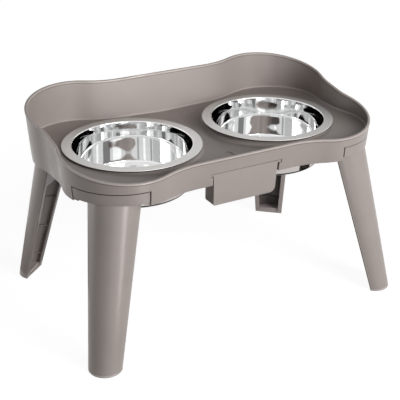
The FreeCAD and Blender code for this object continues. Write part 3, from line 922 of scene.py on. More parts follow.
@dataclass(frozen=True)
class Leg:
    """A tapered half-round channel with lips, ribs and a curved flange at its top."""

    shape: LegPlan = LegPlan()
    tray: Tray = Tray()
    foot_z: float = 3.4 * MM
    lip_width: float = 4.5 * MM
    lip_round: float = 1.0 * MM
    lip_shoulder: tuple[float, float] = (0.15, 0.45)
    rib_height: float = 3.0 * MM
    rib_thickness: float = 2.4 * MM
    rib_heights: tuple[float, ...] = (25.0 * MM, 76.0 * MM, 127.0 * MM)
    rib_ease: float = 0.35 * MM
    plain_low: float = 14.0 * MM
    plain_high: float = 160.0 * MM
    shelf_low: float = 229.6 * MM
    shelf_high: float = 232.0 * MM
    shelf_lap: float = 0.5 * MM
    shelf_turn: float = 0.02
    flange_edge: float = 0.45 * MM
    bevel_angle: float = math.radians(60)
    arc_steps: int = 40

    def section(self, z: float, rib: float) -> Loop:
        """The channel's closed outline at one height.

        Args:
            z: The height.
            rib: How far the inner face stands in.

        Returns:
            The outline's points in order.
        """
        shape = self.shape
        radius, bend = shape.radius(z), self.lip_round
        inner = radius - shape.wall - rib
        tip = radius - shape.wall - self.lip_width
        start = math.asin(bend / radius)
        outline = [(radius * math.sin(t), -radius * math.cos(t))
                   for t in arc_angles(start, math.pi - start, self.arc_steps)]
        near, far = (part * bend for part in self.lip_shoulder)
        lip = [(far, radius - near), (near, radius - far), (0.0, radius - bend), (0.0, tip + bend),
               (near, tip + far), (far, tip + near), (bend, tip), (shape.lip_thickness, tip)]
        turn = math.asin(shape.lip_thickness / inner)
        hollow = [(inner * math.sin(t), inner * math.cos(t))
                  for t in arc_angles(turn, math.pi - turn, self.arc_steps)]
        outline += lip + hollow + [(out, -across) for out, across in lip[::-1]]
        return [shape.place(out, across, z) for out, across in outline]

    def channel(self) -> Piece:
        """The long channel with its ribs."""
        step = self.rib_ease
        levels = [(self.foot_z, 0.0), (self.plain_low, 0.0)]
        for low in self.rib_heights:
            high = low + self.rib_thickness
            levels += [(low - step, 0.0), (low, self.rib_height), (high, self.rib_height), (high + step, 0.0)]
        levels += [(z, 0.0) for z in (self.plain_high, self.shape.flange_base, self.shape.flange_top)]
        return LoopWork.solid("leg_channel", [self.section(z, rib) for z, rib in levels])

    def flange(self) -> Piece:
        """The curved plate that sits flush in the skirt."""
        shape, plan = self.shape, self.shape.plan
        half = shape.flange_half_angle - shape.flange_side_gap / plan.lobe_radius
        turns = arc_angles(shape.flange_angle - half, shape.flange_angle + half, 32)
        loops = []
        for z in (shape.flange_base, shape.flange_top):
            outer = plan.lobe_radius + self.tray.flare * (z - self.tray.base)
            trip = [(outer, t) for t in turns] + [(outer - self.tray.wall, t) for t in turns[::-1]]
            loops.append([Vector((*plan.on_lobe(r, t), z)) for r, t in trip])
        plate = LoopWork.solid("leg_flange", loops)
        Bench.modify(plate, "BEVEL", width=self.flange_edge, segments=3, limit_method="ANGLE",
                     angle_limit=self.bevel_angle)
        return plate

    def wing(self, side: int) -> Piece:
        """The small shelf that joins the channel to one end of the flange.

        Args:
            side: Which side of the leg, -1 or 1.

        Returns:
            The shelf.
        """
        shape, plan = self.shape, self.shape.plan
        middle = (self.shelf_low + self.shelf_high) / 2
        centre, radius = shape.centre(middle), shape.radius(middle) - shape.wall / 2
        lobe = Vector((plan.lobe_x, plan.lobe_y, middle))
        reach = plan.lobe_radius - self.tray.wall / 2
        half = shape.flange_half_angle - (self.tray.stop_width + shape.gap) / plan.lobe_radius
        outer = []
        for turn in arc_angles(0, half, 40):
            place = Vector((*plan.on_lobe(reach, shape.flange_angle + side * turn), middle))
            if (place - centre).length > radius + self.shelf_lap:
                outer.append(place)
        ray = (outer[-1] - lobe).normalized()
        away = outer[-1] - centre
        to_chord = away.dot(shape.outward) / ray.dot(shape.outward)
        spare = away.dot(ray) ** 2 - away.length_squared + radius ** 2
        to_channel = away.dot(ray) - math.sqrt(spare) if spare > 0 else 2 * to_chord
        back = outer[-1] - ray * min(to_chord, to_channel)

        def bearing(place: Vector) -> float:
            way = place - centre
            return math.atan2(way.dot(shape.outward), side * way.dot(shape.sideways))

        across = shape.sideways * side
        rim = [centre + (shape.outward * math.sin(t) + across * math.cos(t)) * radius
               for t in arc_angles(max(bearing(back), 0.0) + self.shelf_turn, bearing(outer[0]), 16)]
        outline = [(place.x, place.y) for place in outer + [back] + rim]
        return LoopWork.upright("leg_shelf", outline, self.shelf_low, self.shelf_high)

    def build(self) -> Piece:
        """Makes the leg with positive X and Y and returns it."""
        leg = self.channel()
        Bench.carve(leg, self.wing(-1), Cut.ADD)
        Bench.carve(leg, self.wing(1), Cut.ADD)
        Bench.carve(leg, self.flange(), Cut.ADD)
        Bench.polish(leg, SMOOTH_ANGLE)
        leg.name = "leg_model"
        return leg


@dataclass(frozen=True)
class FootCap:
    """The soft end of a leg: a sole flush with the leg and rounded below, and a plug inside the channel."""

    shape: LegPlan = LegPlan()
    height: float = 9.0 * MM
    sole: float = 3.4 * MM
    bend: float = 1.5 * MM
    groove: float = 0.3 * MM
    plug_gap: float = 0.2 * MM
    arc_steps: int = 40
    smooth_angle: float = 40.0

    def outline(self, inset: float, start: float, z: float) -> Loop:
        """The leg's half-round outline drawn in, at one height.

        Args:
            inset: How far the round back is drawn in.
            start: How far the flat side is drawn in.
            z: The height.

        Returns:
            The outline's points in order.
        """
        radius = self.shape.radius(z) - inset
        turn = math.asin(start / radius)
        return [self.shape.place(radius * math.sin(t), -radius * math.cos(t), z)
                for t in arc_angles(turn, math.pi - turn, self.arc_steps)]

    def build(self) -> Piece:
        """Makes the cap with positive X and Y and returns it."""
        loops = [self.outline(inset, inset, up) for up, inset in quarter_round(self.bend, 4)]
        loops.append(self.outline(0.0, 0.0, self.sole - self.groove))
        loops.append(self.outline(self.groove, self.groove, self.sole))
        inset, start = self.shape.wall + self.plug_gap, self.shape.lip_thickness + self.plug_gap
        loops.append(self.outline(inset, start, self.sole))
        loops.append(self.outline(inset, start, self.height - self.groove))
        loops.append(self.outline(inset + self.groove, start + self.groove, self.height))
        return LoopWork.solid("cap_model", loops, self.smooth_angle)


@dataclass(frozen=True)
class DripDrawer:
    """The small open box behind the front plate, with one round pouring corner and an ear along each side."""

    face_y: float = -123.0 * MM
    depth: float = DRAWER_DEPTH
    half: float = DRAWER_HALF
    top: float = DRAWER_TOP
    bottom: float = 192.0 * MM
    wall: float = 2.0 * MM
    face: float = 2.4 * MM
    pour_radius: float = 9.0 * MM
    pour_taper: float = math.radians(4.4)
    corner_radius: float = 3.0 * MM
    back_radius: float = 4.5 * MM
    front_round: float = 1.1 * MM
    ear_half: float = EAR_HALF
    ear_low: float = 236.1 * MM
    ear_start: float = 0.5 * MM
    sharpest: float = 0.6 * MM
    cut_height: float = 10.0 * MM
    edge: float = 0.35 * MM
    bevel_angle: float = math.radians(50)

    def outline(self, inset: float, y: float, top: float) -> Loop:
        """The plate's outline drawn in by an inset, at one depth.

        Args:
            inset: How far it is drawn in at the sides and the bottom.
            y: The depth.
            top: Height of the upper edge.

        Returns:
            The outline's points in order.
        """
        left, low = -self.half + inset, self.bottom + inset
        corner = max(self.corner_radius - inset, self.sharpest)
        pour, lean = self.pour_radius - inset, math.cos(self.pour_taper)

        def right(z: float) -> float:
            return self.half - inset / lean - (self.top - z) * math.tan(self.pour_taper)

        middle = right(low + pour) - pour / lean
        points = [(left, top)]
        for turn in arc_angles(math.pi, 1.5 * math.pi, 8):
            points.append((left + corner + corner * math.cos(turn), low + corner + corner * math.sin(turn)))
        for turn in arc_angles(1.5 * math.pi, 2 * math.pi - self.pour_taper, 16):
            points.append((middle + pour * math.cos(turn), low + pour + pour * math.sin(turn)))
        points.append((right(top), top))
        return [Vector((x, y, z)) for x, z in points]

    def ear(self, side: int) -> Piece:
        """The ear along one side, which runs on a rail."""
        inner, outer = side * (self.half - self.wall / 2), side * self.ear_half
        shape = [(inner, self.ear_low), (outer, self.ear_low), (outer, self.top), (inner, self.top)]
        return LoopWork.solid("ear", [[Vector((x, self.face_y + y, z)) for x, z in shape]
                                      for y in (self.ear_start, self.depth)])

    def build(self) -> Piece:
        """Makes the drawer and returns it."""
        back = self.face_y + self.depth
        loops = [self.outline(inset, self.face_y + along, self.top - inset)
                 for along, inset in quarter_round(self.front_round, 4)]
        loops += [self.outline(inset, back - along, self.top)
                  for inset, along in quarter_round(self.back_radius, 6)]
        drawer = LoopWork.solid("drawer_model", loops)
        high = self.top + self.cut_height
        hollow = [self.outline(self.wall, self.face_y + self.face, high)]
        hollow += [self.outline(self.wall + inset, back - self.wall - along, high)
                   for inset, along in quarter_round(self.back_radius - self.wall, 4)]
        Bench.carve(drawer, LoopWork.solid("drawer_hollow", hollow), Cut.TAKE)
        for side in (-1, 1):
            Bench.carve(drawer, self.ear(side), Cut.ADD)
        Bench.modify(drawer, "BEVEL", width=self.edge, segments=2, limit_method="ANGLE",
                     angle_limit=self.bevel_angle)
        Bench.polish(drawer, SMOOTH_ANGLE)
        drawer.name = "drip_tray_drawer"
        return drawer


class Wiring:
    """Adds shader nodes to a tree and joins them."""

    def __init__(self, owner: bpy.types.Material | bpy.types.World) -> None:
        """Gives a material or the surround an empty tree."""
        owner.use_nodes = True
        self.tree = owner.node_tree
        self.tree.nodes.clear()

    def add(self, kind: str) -> bpy.types.Node:
        """Adds a node, by the end of its type's name."""
        return self.tree.nodes.new("ShaderNode" + kind)

    def link(self, source: Socket, target: Socket) -> None:
        """Joins two sockets."""
        self.tree.links.new(source, target)

    def noise(self, place: Socket, scale: float, detail: float) -> Socket:
        """A cloud of values about 0.5.

        Args:
            place: The coordinates.
            scale: Waves per metre.
            detail: Number of finer layers.

        Returns:
            The values.
        """
        node = self.add("TexNoise")
        node.inputs["Scale"].default_value = scale
        node.inputs["Detail"].default_value = detail
        self.link(place, node.inputs["Vector"])
        return node.outputs["Fac"]

    def span(self, value: Socket, ends: tuple[float, float],
             result: tuple[float, float] = (0.0, 1.0)) -> Socket:
        """Maps one range of values to another.

        Args:
            value: The values.
            ends: The range they are read over.
            result: What the two ends become.

        Returns:
            The mapped values.
        """
        node = self.add("MapRange")
        node.interpolation_type = "SMOOTHSTEP"
        for index, number in enumerate((*ends, *result), start=1):
            node.inputs[index].default_value = number
        self.link(value, node.inputs[0])
        return node.outputs[0]

    def blend(self, part: Socket, low: Tint, high: Tint) -> Socket:
        """Blends two colours, each fixed or from a socket.

        Args:
            part: Share of the second colour.
            low: The first colour.
            high: The second colour.

        Returns:
            The blended colour.
        """
        node = self.add("Mix")
        node.data_type = "RGBA"
        sockets = [s for s in node.inputs if s.type == "RGBA"]
        for socket, tint in zip(sockets, (low, high)):
            if isinstance(tint, tuple):
                socket.default_value = (*tint, 1.0)
            else:
                self.link(tint, socket)
        self.link(part, node.inputs["Factor"])
        return [s for s in node.outputs if s.type == "RGBA"][0]

    def split(self, vector: Socket) -> bpy.types.NodeOutputs:
        """The three parts of a vector."""
        node = self.add("SeparateXYZ")
        self.link(vector, node.inputs["Vector"])
        return node.outputs

    def math(self, operation: str, first: Socket, second: Socket | float = 0.0) -> Socket:
        """Works out one value from two.

        Args:
            operation: Blender's name for the sum.
            first: The first value.
            second: The second value or a number.

        Returns:
            The result.
        """
        node = self.add("Math")
        node.operation = operation
        self.link(first, node.inputs[0])
        if isinstance(second, (int, float)):
            node.inputs[1].default_value = second
        else:
            self.link(second, node.inputs[1])
        return node.outputs[0]

    def dot(self, first: Sequence[Socket], second: Sequence[Socket]) -> Socket:
        """Sum of the products of two pairs of values."""
        products = [self.math("MULTIPLY", one, other) for one, other in zip(first, second)]
        return self.math("ADD", *products)

    def seen(self) -> Socket:
        """1 for rays that see a surface straight, in a mirror or through glass, and 0 for the rest."""
        path = self.add("LightPath")
        value = path.outputs["Is Camera Ray"]
        for name in ("Is Glossy Ray", "Is Transmission Ray"):
            value = self.math("MAXIMUM", value, path.outputs[name])
        return value


class Nodes(Wiring):
    """Lays out the nodes of one finish about its main shader."""

    def __init__(self, name: str) -> None:
        """Makes the material with its shader, output and object coordinates."""
        self.material = bpy.data.materials.new(name)
        super().__init__(self.material)
        self.shader = self.add("BsdfPrincipled")
        self.link(self.shader.outputs["BSDF"], self.add("OutputMaterial").inputs["Surface"])
        self.place = self.add("TexCoord").outputs["Object"]

    def bump(self, height: Socket, strength: float, depth: float) -> None:
        """Roughens the surface by a height.

        Args:
            height: The height from 0 to 1.
            strength: How strongly it acts.
            depth: What a height of 1 stands for, in metres.
        """
        node = self.add("Bump")
        node.inputs["Strength"].default_value = strength
        node.inputs["Distance"].default_value = depth
        self.link(height, node.inputs["Height"])
        self.link(node.outputs["Normal"], self.shader.inputs["Normal"])


@dataclass(frozen=True)
class MouldedFinish:
    """Satin moulded plastic or rubber: a fine grain, faint mottling and uneven gloss."""

    name: str
    colour: tuple[float, float, float]
    gloss: tuple[float, float] = (0.30, 0.38)
    mottling: float = 0.035
    grain_scale: float = 1500.0
    grain_strength: float = 0.10
    grain_depth: float = 0.12 * MM
    mottle_scale: float = 14.0
    patch_scale: float = 70.0
    index: float = 1.48
    specular: float = 0.3

    def tone(self, factor: float) -> tuple[float, ...]:
        """The colour made lighter or darker."""
        return tuple(part * factor for part in self.colour)

    def shade(self, nodes: Nodes, tint: Socket) -> Socket:
        """Leaves the mottled colour as it is, for finishes that change it by place."""
        return tint

    def build(self) -> bpy.types.Material:
        """Makes the finish and returns its material."""
        nodes = Nodes(self.name)
        cloud = nodes.noise(nodes.place, self.mottle_scale, 4.0)
        dark, light = self.tone(1 - self.mottling), self.tone(1 + self.mottling)
        tint = nodes.blend(nodes.span(cloud, CLOUDS), dark, light)
        nodes.link(self.shade(nodes, tint), nodes.shader.inputs["Base Color"])
        patches = nodes.noise(nodes.place, self.patch_scale, 3.0)
        nodes.link(nodes.span(patches, CLOUDS, self.gloss), nodes.shader.inputs["Roughness"])
        nodes.bump(nodes.noise(nodes.place, self.grain_scale, 2.0), self.grain_strength, self.grain_depth)
        nodes.shader.inputs["IOR"].default_value = self.index
        nodes.shader.inputs["Specular IOR Level"].default_value = self.specular
        return nodes.material


@dataclass(frozen=True)
class TrayFinish(MouldedFinish):
    """The tray's plastic, with a painted highlight along the rim and along the floor's fillet, and a painted
    shade line under the rim's bead.
    """

    rim_middle: float = RIM_MIDDLE
    rim_slope: float = RIM_SLOPE
    painted_edge_band: tuple[float, float] = (-2.3 * MM, -1.7 * MM)
    painted_line_band: tuple[float, float] = (-4.0 * MM, -3.2 * MM)
    painted_edge_shading: float = 1.5
    painted_line_shading: float = 0.6
    painted_fillet_highlight_tone: float = 1.45

    def shade(self, nodes: Nodes, tint: Socket) -> Socket:
        """Paints light into the colour: a highlight band and a shade line by the height above the rim's
        plane, and a highlight on the marked floor fillet.

        Args:
            nodes: The finish's nodes.
            tint: The mottled colour.

        Returns:
            The colour with the painted rim highlight, the painted shade line and the painted fillet
            highlight.
        """
        parts = nodes.split(nodes.place)
        plane = nodes.math("ADD", nodes.math("MULTIPLY", parts["Y"], self.rim_slope), self.rim_middle)
        height = nodes.math("SUBTRACT", parts["Z"], plane)
        # Painted shade: a darker line under the rim's bead.
        tint = nodes.blend(nodes.span(height, self.painted_line_band), tint, self.tone(self.painted_line_shading))
        # Painted highlight: a paler band along the rim.
        tint = nodes.blend(nodes.span(height, self.painted_edge_band), tint, self.tone(self.painted_edge_shading))
        # Painted highlight along the wall's foot fillet, read from the marked layer.
        foot = nodes.add("Attribute")
        foot.attribute_name = FILLET_HIGHLIGHT
        return nodes.blend(foot.outputs["Fac"], tint, self.tone(self.painted_fillet_highlight_tone))


@dataclass(frozen=True)
class LegFinish(MouldedFinish):
    """A leg's plastic with painted light: shade inside the channel and along the flange's top, a pale line
    near the open edges, and an edge band darker or paler per corner.
    """

    shape: LegPlan = LegPlan()
    painted_edge_shading: float = 0.35
    painted_line_shading: float = 1.3
    painted_inner_shade: float = 0.42
    painted_top_shade: float = 0.3
    inner_shade_depth: tuple[float, float] = (2.2 * MM, 2.8 * MM)
    inner_shade_start: tuple[float, float] = (0.6 * MM, 1.4 * MM)
    painted_edge_band: tuple[float, float] = (1.3 * MM, 1.9 * MM)
    painted_line_band: tuple[float, float] = (2.8 * MM, 3.6 * MM)
    painted_line_depth: tuple[float, float] = (1.0 * MM, 1.6 * MM)
    painted_top_shade_band: tuple[float, float] = (-0.7 * MM, -0.4 * MM)

    def along(self, nodes: Nodes, place: Socket, way: Vector) -> Socket:
        """Distance from a leg's axis along one of its own directions.

        Args:
            nodes: The finish's nodes.
            place: The point, mirrored to the leg with positive X and Y.
            way: The direction.

        Returns:
            The distance.
        """
        foot, top = self.shape.centre(0.0), self.shape.centre(self.shape.base)
        lean = (foot - top).dot(way) / self.shape.base
        node = nodes.add("VectorMath")
        node.operation = "DOT_PRODUCT"
        node.inputs[1].default_value = (way.x, way.y, lean)
        nodes.link(place, node.inputs[0])
        return nodes.math("SUBTRACT", node.outputs["Value"], foot.dot(way))

    def shade(self, nodes: Nodes, tint: Socket) -> Socket:
        """Paints light and shade into the colour by the place within the leg's section.

        Args:
            nodes: The finish's nodes.
            tint: The mottled colour.

        Returns:
            The colour with the painted shade inside, the painted edge band, the painted pale line and the
            painted shade at the flange's top.
        """
        mirror = nodes.add("VectorMath")
        mirror.operation = "ABSOLUTE"
        nodes.link(nodes.place, mirror.inputs[0])
        place = mirror.outputs["Vector"]
        height = nodes.split(place)["Z"]
        out = self.along(nodes, place, self.shape.outward)
        across = self.along(nodes, place, self.shape.sideways)
        reach = nodes.math("SQRT", nodes.dot((out, across), (out, across)))
        taper = (self.shape.top_radius - self.shape.foot_radius) / self.shape.base
        radius = nodes.math("ADD", nodes.math("MULTIPLY", height, taper), self.shape.foot_radius)
        depth = nodes.math("SUBTRACT", radius, reach)
        inside = nodes.math("MULTIPLY", nodes.span(depth, self.inner_shade_depth),
                            nodes.span(out, self.inner_shade_start))
        edge = nodes.span(out, self.painted_edge_band, FALLING)
        line = nodes.math("MULTIPLY", nodes.span(out, self.painted_line_band, FALLING),
                          nodes.span(depth, self.painted_line_depth, FALLING))
        top = nodes.span(nodes.math("SUBTRACT", height, self.shape.flange_top), self.painted_top_shade_band)
        # Painted highlight: a pale line near the open edges.
        tint = nodes.blend(line, tint, self.tone(self.painted_line_shading))
        # Painted shade inside the channel.
        tint = nodes.blend(inside, tint, self.tone(self.painted_inner_shade))
        # Painted edge band, darker or paler per corner as the light falls on each leg.
        tint = nodes.blend(edge, tint, self.tone(self.painted_edge_shading))
        # Painted shade line along the flange's top.
        return nodes.blend(top, tint, self.tone(self.painted_top_shade))


@dataclass(frozen=True)
class DrawerFinish(MouldedFinish):
    """The drawer's plastic, with a painted shade line along its upper edge."""

    top: float = DRAWER_TOP
    painted_top_shade: float = 0.3
    painted_top_shade_band: tuple[float, float] = (-0.8 * MM, -0.5 * MM)

    def shade(self, nodes: Nodes, tint: Socket) -> Socket:
        """Paints a shade line into the mottled colour along the upper edge."""
        height = nodes.math("SUBTRACT", nodes.split(nodes.place)["Z"], self.top)
        # Painted shade along the upper edge.
        return nodes.blend(nodes.span(height, self.painted_top_shade_band), tint, self.tone(self.painted_top_shade))


@dataclass(frozen=True)
class SteelFinish:
    """Spun steel: mirror-polished inside, with fine turning lines, and satin on the flat rim; its outer face
    has a painted taupe reflection, with painted shade along its bottom and under the rim's curl.
    """

    name: str
    centre_x: float
    colour: tuple[float, float, float] = (0.87, 0.872, 0.872)
    rim_dark: tuple[float, float, float] = (0.50, 0.49, 0.475)
    rim_light: tuple[float, float, float] = (0.67, 0.66, 0.645)
    # Painted reflection: the outer face's taupe colour stands for the tray and legs mirrored in it.
    outside: tuple[float, float, float] = (0.52, 0.485, 0.465)
    # Painted shade: nearly black along the bottom of the outer face and under the rim's curl.
    under: tuple[float, float, float] = (0.02, 0.017, 0.016)
    painted_shade_line: float = 193.3 * MM
    curl_shade_start: float = 98.9 * MM
    curl_shade_low: float = 252.9 * MM
    polish: float = 0.03
    satin: float = 0.34
    rim_band: tuple[float, float] = (86.2 * MM, 87.2 * MM)
    turn_band: tuple[float, float] = (0.0, 10.0 * MM)
    fade: float = 0.3 * MM
    stain_tone: float = 0.95
    stain_scale: float = 30.0
    line_scale: float = 2600.0
    grain_scale: float = 1900.0
    streaks: tuple[float, float] = (0.75, 1.25)
    line_height: float = 0.05
    bump_strength: float = 0.25
    bump_depth: float = 0.05 * MM

    def build(self) -> bpy.types.Material:
        """Makes the finish and returns its material."""
        nodes = Nodes(self.name)
        shift = nodes.add("Mapping")
        shift.inputs["Location"].default_value = (-self.centre_x, 0.0, 0.0)
        nodes.link(nodes.place, shift.inputs["Vector"])
        parts = nodes.split(shift.outputs["Vector"])
        level = (parts["X"], parts["Y"])
        radius = nodes.math("SQRT", nodes.dot(level, level))
        rim = nodes.span(radius, self.rim_band)
        join = nodes.add("CombineXYZ")
        nodes.link(radius, join.inputs["X"])
        nodes.link(parts["Z"], join.inputs["Y"])
        lines = nodes.noise(join.outputs["Vector"], self.line_scale, 3.0)
        grain = nodes.noise(nodes.place, self.grain_scale, 3.0)
        stain = nodes.span(nodes.noise(nodes.place, self.stain_scale, 3.0), CLOUDS)
        bright = nodes.blend(stain, tuple(part * self.stain_tone for part in self.colour), self.colour)
        satin = nodes.blend(nodes.span(grain, CLOUDS), self.rim_dark, self.rim_light)
        tint = nodes.blend(rim, bright, satin)
        normal = nodes.split(nodes.add("NewGeometry").outputs["Normal"])
        facing = nodes.dot((normal["X"], normal["Y"]), level)
        back = nodes.span(facing, self.turn_band)
        low = nodes.span(parts["Z"], (self.painted_shade_line - 2 * self.fade, self.painted_shade_line), FALLING)
        edge = nodes.span(radius, (self.curl_shade_start, self.curl_shade_start + self.fade))
        under_edge = nodes.span(parts["Z"], (self.curl_shade_low - self.fade, self.curl_shade_low), FALLING)
        curl = nodes.math("MULTIPLY", edge, under_edge)
        inner = nodes.math("SUBTRACT", back, nodes.math("MULTIPLY", back, rim))
        # Painted reflection on the outward faces.
        tint = nodes.blend(inner, tint, self.outside)
        # Painted shade along the bottom and under the curl.
        dark = nodes.math("MAXIMUM", nodes.math("MULTIPLY", back, low), curl)
        nodes.link(nodes.blend(dark, tint, self.under), nodes.shader.inputs["Base Color"])
        smooth = nodes.math("MULTIPLY", nodes.span(lines, CLOUDS, self.streaks), self.polish)
        rough = nodes.math("ADD", smooth, nodes.math("MULTIPLY", rim, self.satin))
        nodes.link(rough, nodes.shader.inputs["Roughness"])
        turned = nodes.math("MULTIPLY", lines, self.line_height)
        height = nodes.math("ADD", nodes.math("MULTIPLY", grain, rim), turned)
        nodes.bump(height, self.bump_strength, self.bump_depth)
        nodes.shader.inputs["Metallic"].default_value = 1.0
        return nodes.material


@dataclass(frozen=True)
class FloorFinish:
    """The plain pale floor, which looks white and keeps the object's shadow."""

    name: str = "studio_floor"
    colour: tuple[float, float, float] = (0.2, 0.2, 0.2)
    lift: tuple[float, float] = (0.93, 1.0)
    reach: tuple[float, float] = (0.4, 1.0)

    def build(self) -> bpy.types.Material:
        """Makes the floor's material and returns it."""
        material = bpy.data.materials.new(self.name)
        wires = Wiring(material)
        matte = wires.add("BsdfDiffuse")
        matte.inputs["Color"].default_value = (*self.colour, 1.0)
        length = wires.add("VectorMath")
        length.operation = "LENGTH"
        wires.link(wires.add("TexCoord").outputs["Object"], length.inputs[0])
        level = wires.add("MapRange")
        for index, number in enumerate((*self.reach, *self.lift), start=1):
            level.inputs[index].default_value = number
        wires.link(length.outputs["Value"], level.inputs[0])
        glow = wires.add("Emission")
        wires.link(wires.math("MULTIPLY", level.outputs[0], wires.seen()), glow.inputs["Strength"])
        both = wires.add("AddShader")
        wires.link(matte.outputs[0], both.inputs[0])
        wires.link(glow.outputs[0], both.inputs[1])
        wires.link(both.outputs[0], wires.add("OutputMaterial").inputs["Surface"])
        return material


class Lamp(NamedTuple):
    """A soft white lamp aimed at a point, with the spread of its beam in degrees."""

    name: str
    place: tuple[float, float, float]
    power: float
    aim: tuple[float, float, float] = (0.0, 0.0, 0.22)
    size: tuple[float, float] = (0.9, 0.9)
    spread: float = 180.0


class Card(NamedTuple):
    """A card that only glossy surfaces see, at a bearing in degrees and so many degrees wide."""

    name: str
    bearing: float
    spread: float
    tone: float
    reach: float = 1.5
    height: float = 0.72
    tall: float = 0.95
    aim: tuple[float, float, float] = (0.0, 0.0, 0.25)


@dataclass(frozen=True)
class Studio:
    """The floor, the soft lights, the cards that the steel mirrors, and the camera."""

    ambient: float = 0.03
    floor_reach: float = 6.0
    eye: tuple[float, float, float] = (-0.62614, -1.08800, 0.74145)
    azimuth: float = math.radians(-29.92)
    elevation: float = math.radians(25.143)
    roll: float = math.radians(0.602)
    lens: float = 82.35
    sensor: float = 36.0
    shift: tuple[float, float] = (-0.00425, -0.02175)
    lamps: tuple[Lamp, ...] = (
        Lamp("key_light", (0.62, -1.615, 0.7162), 23.0),
        Lamp("right_light", (1.2105, -1.2105, 0.7762), 0.8),
        Lamp("left_light", (-1.45, 0.95, 0.19), 11.0, (0.0, 0.0, 0.15), (0.7, 0.3)),
        Lamp("high_light", (0.1919, -1.3655, 1.377), 5.5),
        Lamp("front_left_light", (-0.55, -1.6, 0.17), 2.9, (0.0, 0.0, 0.14), (0.9, 0.3)),
        Lamp("wall_light", (0.15, -1.75, 0.76), 0.018, (-0.035, 0.165, 0.29), (0.2, 0.06), 5.0),
    )
    cards: tuple[Card, ...] = (
        Card("front_card", -88.0, 31.0, 1.7),
        Card("front_left_card", -120.0, 14.0, 0.7),
        Card("front_right_card", -38.0, 34.0, 0.72),
        Card("rear_left_card", 130.0, 32.0, 1.5),
        Card("left_card", 172.0, 28.0, 0.3),
        Card("rear_card", 85.0, 24.0, 0.75),
        Card("bright_strip_right", -62.0, 7.0, 1.6),
        Card("bright_strip_left", -148.0, 9.0, 1.5),
        Card("bright_strip_rear", 18.0, 9.0, 1.5),
        Card("dark_strip_right", -12.0, 7.0, 0.5),
        Card("dark_strip_rear", 45.0, 8.0, 0.55),
        Card("low_dark_card", 138.0, 36.9, 0.03, 0.30, 0.01, 0.26, (-0.223, 0.201, 1.0)),
        Card("leg_strip", -95.9, 6.9, 20.0, 0.583, 0.15, 0.36, (-0.21, -0.2, 0.13)),
    )

    def sky(self) -> None:
        """A white surround, which lights the object softly."""
        world = bpy.data.worlds.new("studio_surround")
        wires = Wiring(world)
        ground = wires.add("Background")
        ground.inputs["Color"].default_value = (1.0, 1.0, 1.0, 1.0)
        level = wires.add("MapRange")
        level.inputs["To Min"].default_value = self.ambient
        wires.link(wires.seen(), level.inputs["Value"])
        wires.link(level.outputs["Result"], ground.inputs["Strength"])
        wires.link(ground.outputs["Background"], wires.add("OutputWorld").inputs["Surface"])
        bpy.context.scene.world = world

    @staticmethod
    def facing(place: Sequence[float], aim: Sequence[float]) -> Matrix:
        """The placing of a thing that faces a point with its -Z side."""
        turn = (Vector(aim) - Vector(place)).to_track_quat("-Z", "Y")
        return Matrix.Translation(place) @ turn.to_matrix().to_4x4()

    def floor(self) -> None:
        """The pale floor under the feet."""
        Bench.clear()
        bpy.ops.mesh.primitive_plane_add(size=2 * self.floor_reach)
        plane = bpy.context.active_object
        plane.name = "studio_floor"
        plane.data.materials.append(FloorFinish().build())

    def light(self) -> None:
        """The soft lamps."""
        for lamp in self.lamps:
            data = bpy.data.lights.new(lamp.name, "AREA")
            data.shape = "RECTANGLE"
            data.size, data.size_y = lamp.size
            data.energy = lamp.power
            data.spread = math.radians(lamp.spread)
            holder = bpy.data.objects.new(lamp.name, data)
            holder.matrix_world = self.facing(lamp.place, lamp.aim)
            bpy.context.collection.objects.link(holder)

    def mirror_cards(self) -> None:
        """The cards whose images show in the polished steel."""
        for card in self.cards:
            Bench.clear()
            bpy.ops.mesh.primitive_plane_add(size=1.0)
            plane = bpy.context.active_object
            plane.name = card.name
            bearing = math.radians(card.bearing)
            place = (card.reach * math.cos(bearing), card.reach * math.sin(bearing), card.height)
            size = (2 * card.reach * math.tan(math.radians(card.spread / 2)), card.tall, 1.0, 1.0)
            plane.matrix_world = self.facing(place, card.aim) @ Matrix.Diagonal(size)
            material = bpy.data.materials.new(card.name)
            wires = Wiring(material)
            glow = wires.add("Emission")
            glow.inputs["Color"].default_value = (card.tone, card.tone, card.tone, 1.0)
            wires.link(glow.outputs[0], wires.add("OutputMaterial").inputs["Surface"])
            plane.data.materials.append(material)
            plane.visible_camera = plane.visible_diffuse = plane.visible_shadow = False

    def camera(self) -> None:
        """The camera at the photograph's place."""
        level = math.cos(self.elevation)
        right = Vector((math.cos(self.azimuth), math.sin(self.azimuth), 0.0))
        back = Vector((right.y * level, -right.x * level, math.sin(self.elevation)))
        up = back.cross(right)
        across = right * math.cos(self.roll) + up * math.sin(self.roll)
        above = back.cross(across)
        data = bpy.data.cameras.new("view_camera")
        data.lens = self.lens
        data.sensor_width = self.sensor
        data.shift_x, data.shift_y = self.shift
        holder = bpy.data.objects.new("view_camera", data)
        turn = Matrix((across, above, back)).transposed().to_4x4()
        holder.matrix_world = Matrix.Translation(self.eye) @ turn
        bpy.context.collection.objects.link(holder)
        bpy.context.scene.camera = holder

    def build(self) -> None:
        """Sets up the whole studio."""
        bpy.context.scene.view_settings.view_transform = "Standard"
        self.sky()
        self.floor()
        self.light()
        self.mirror_cards()
        self.camera()


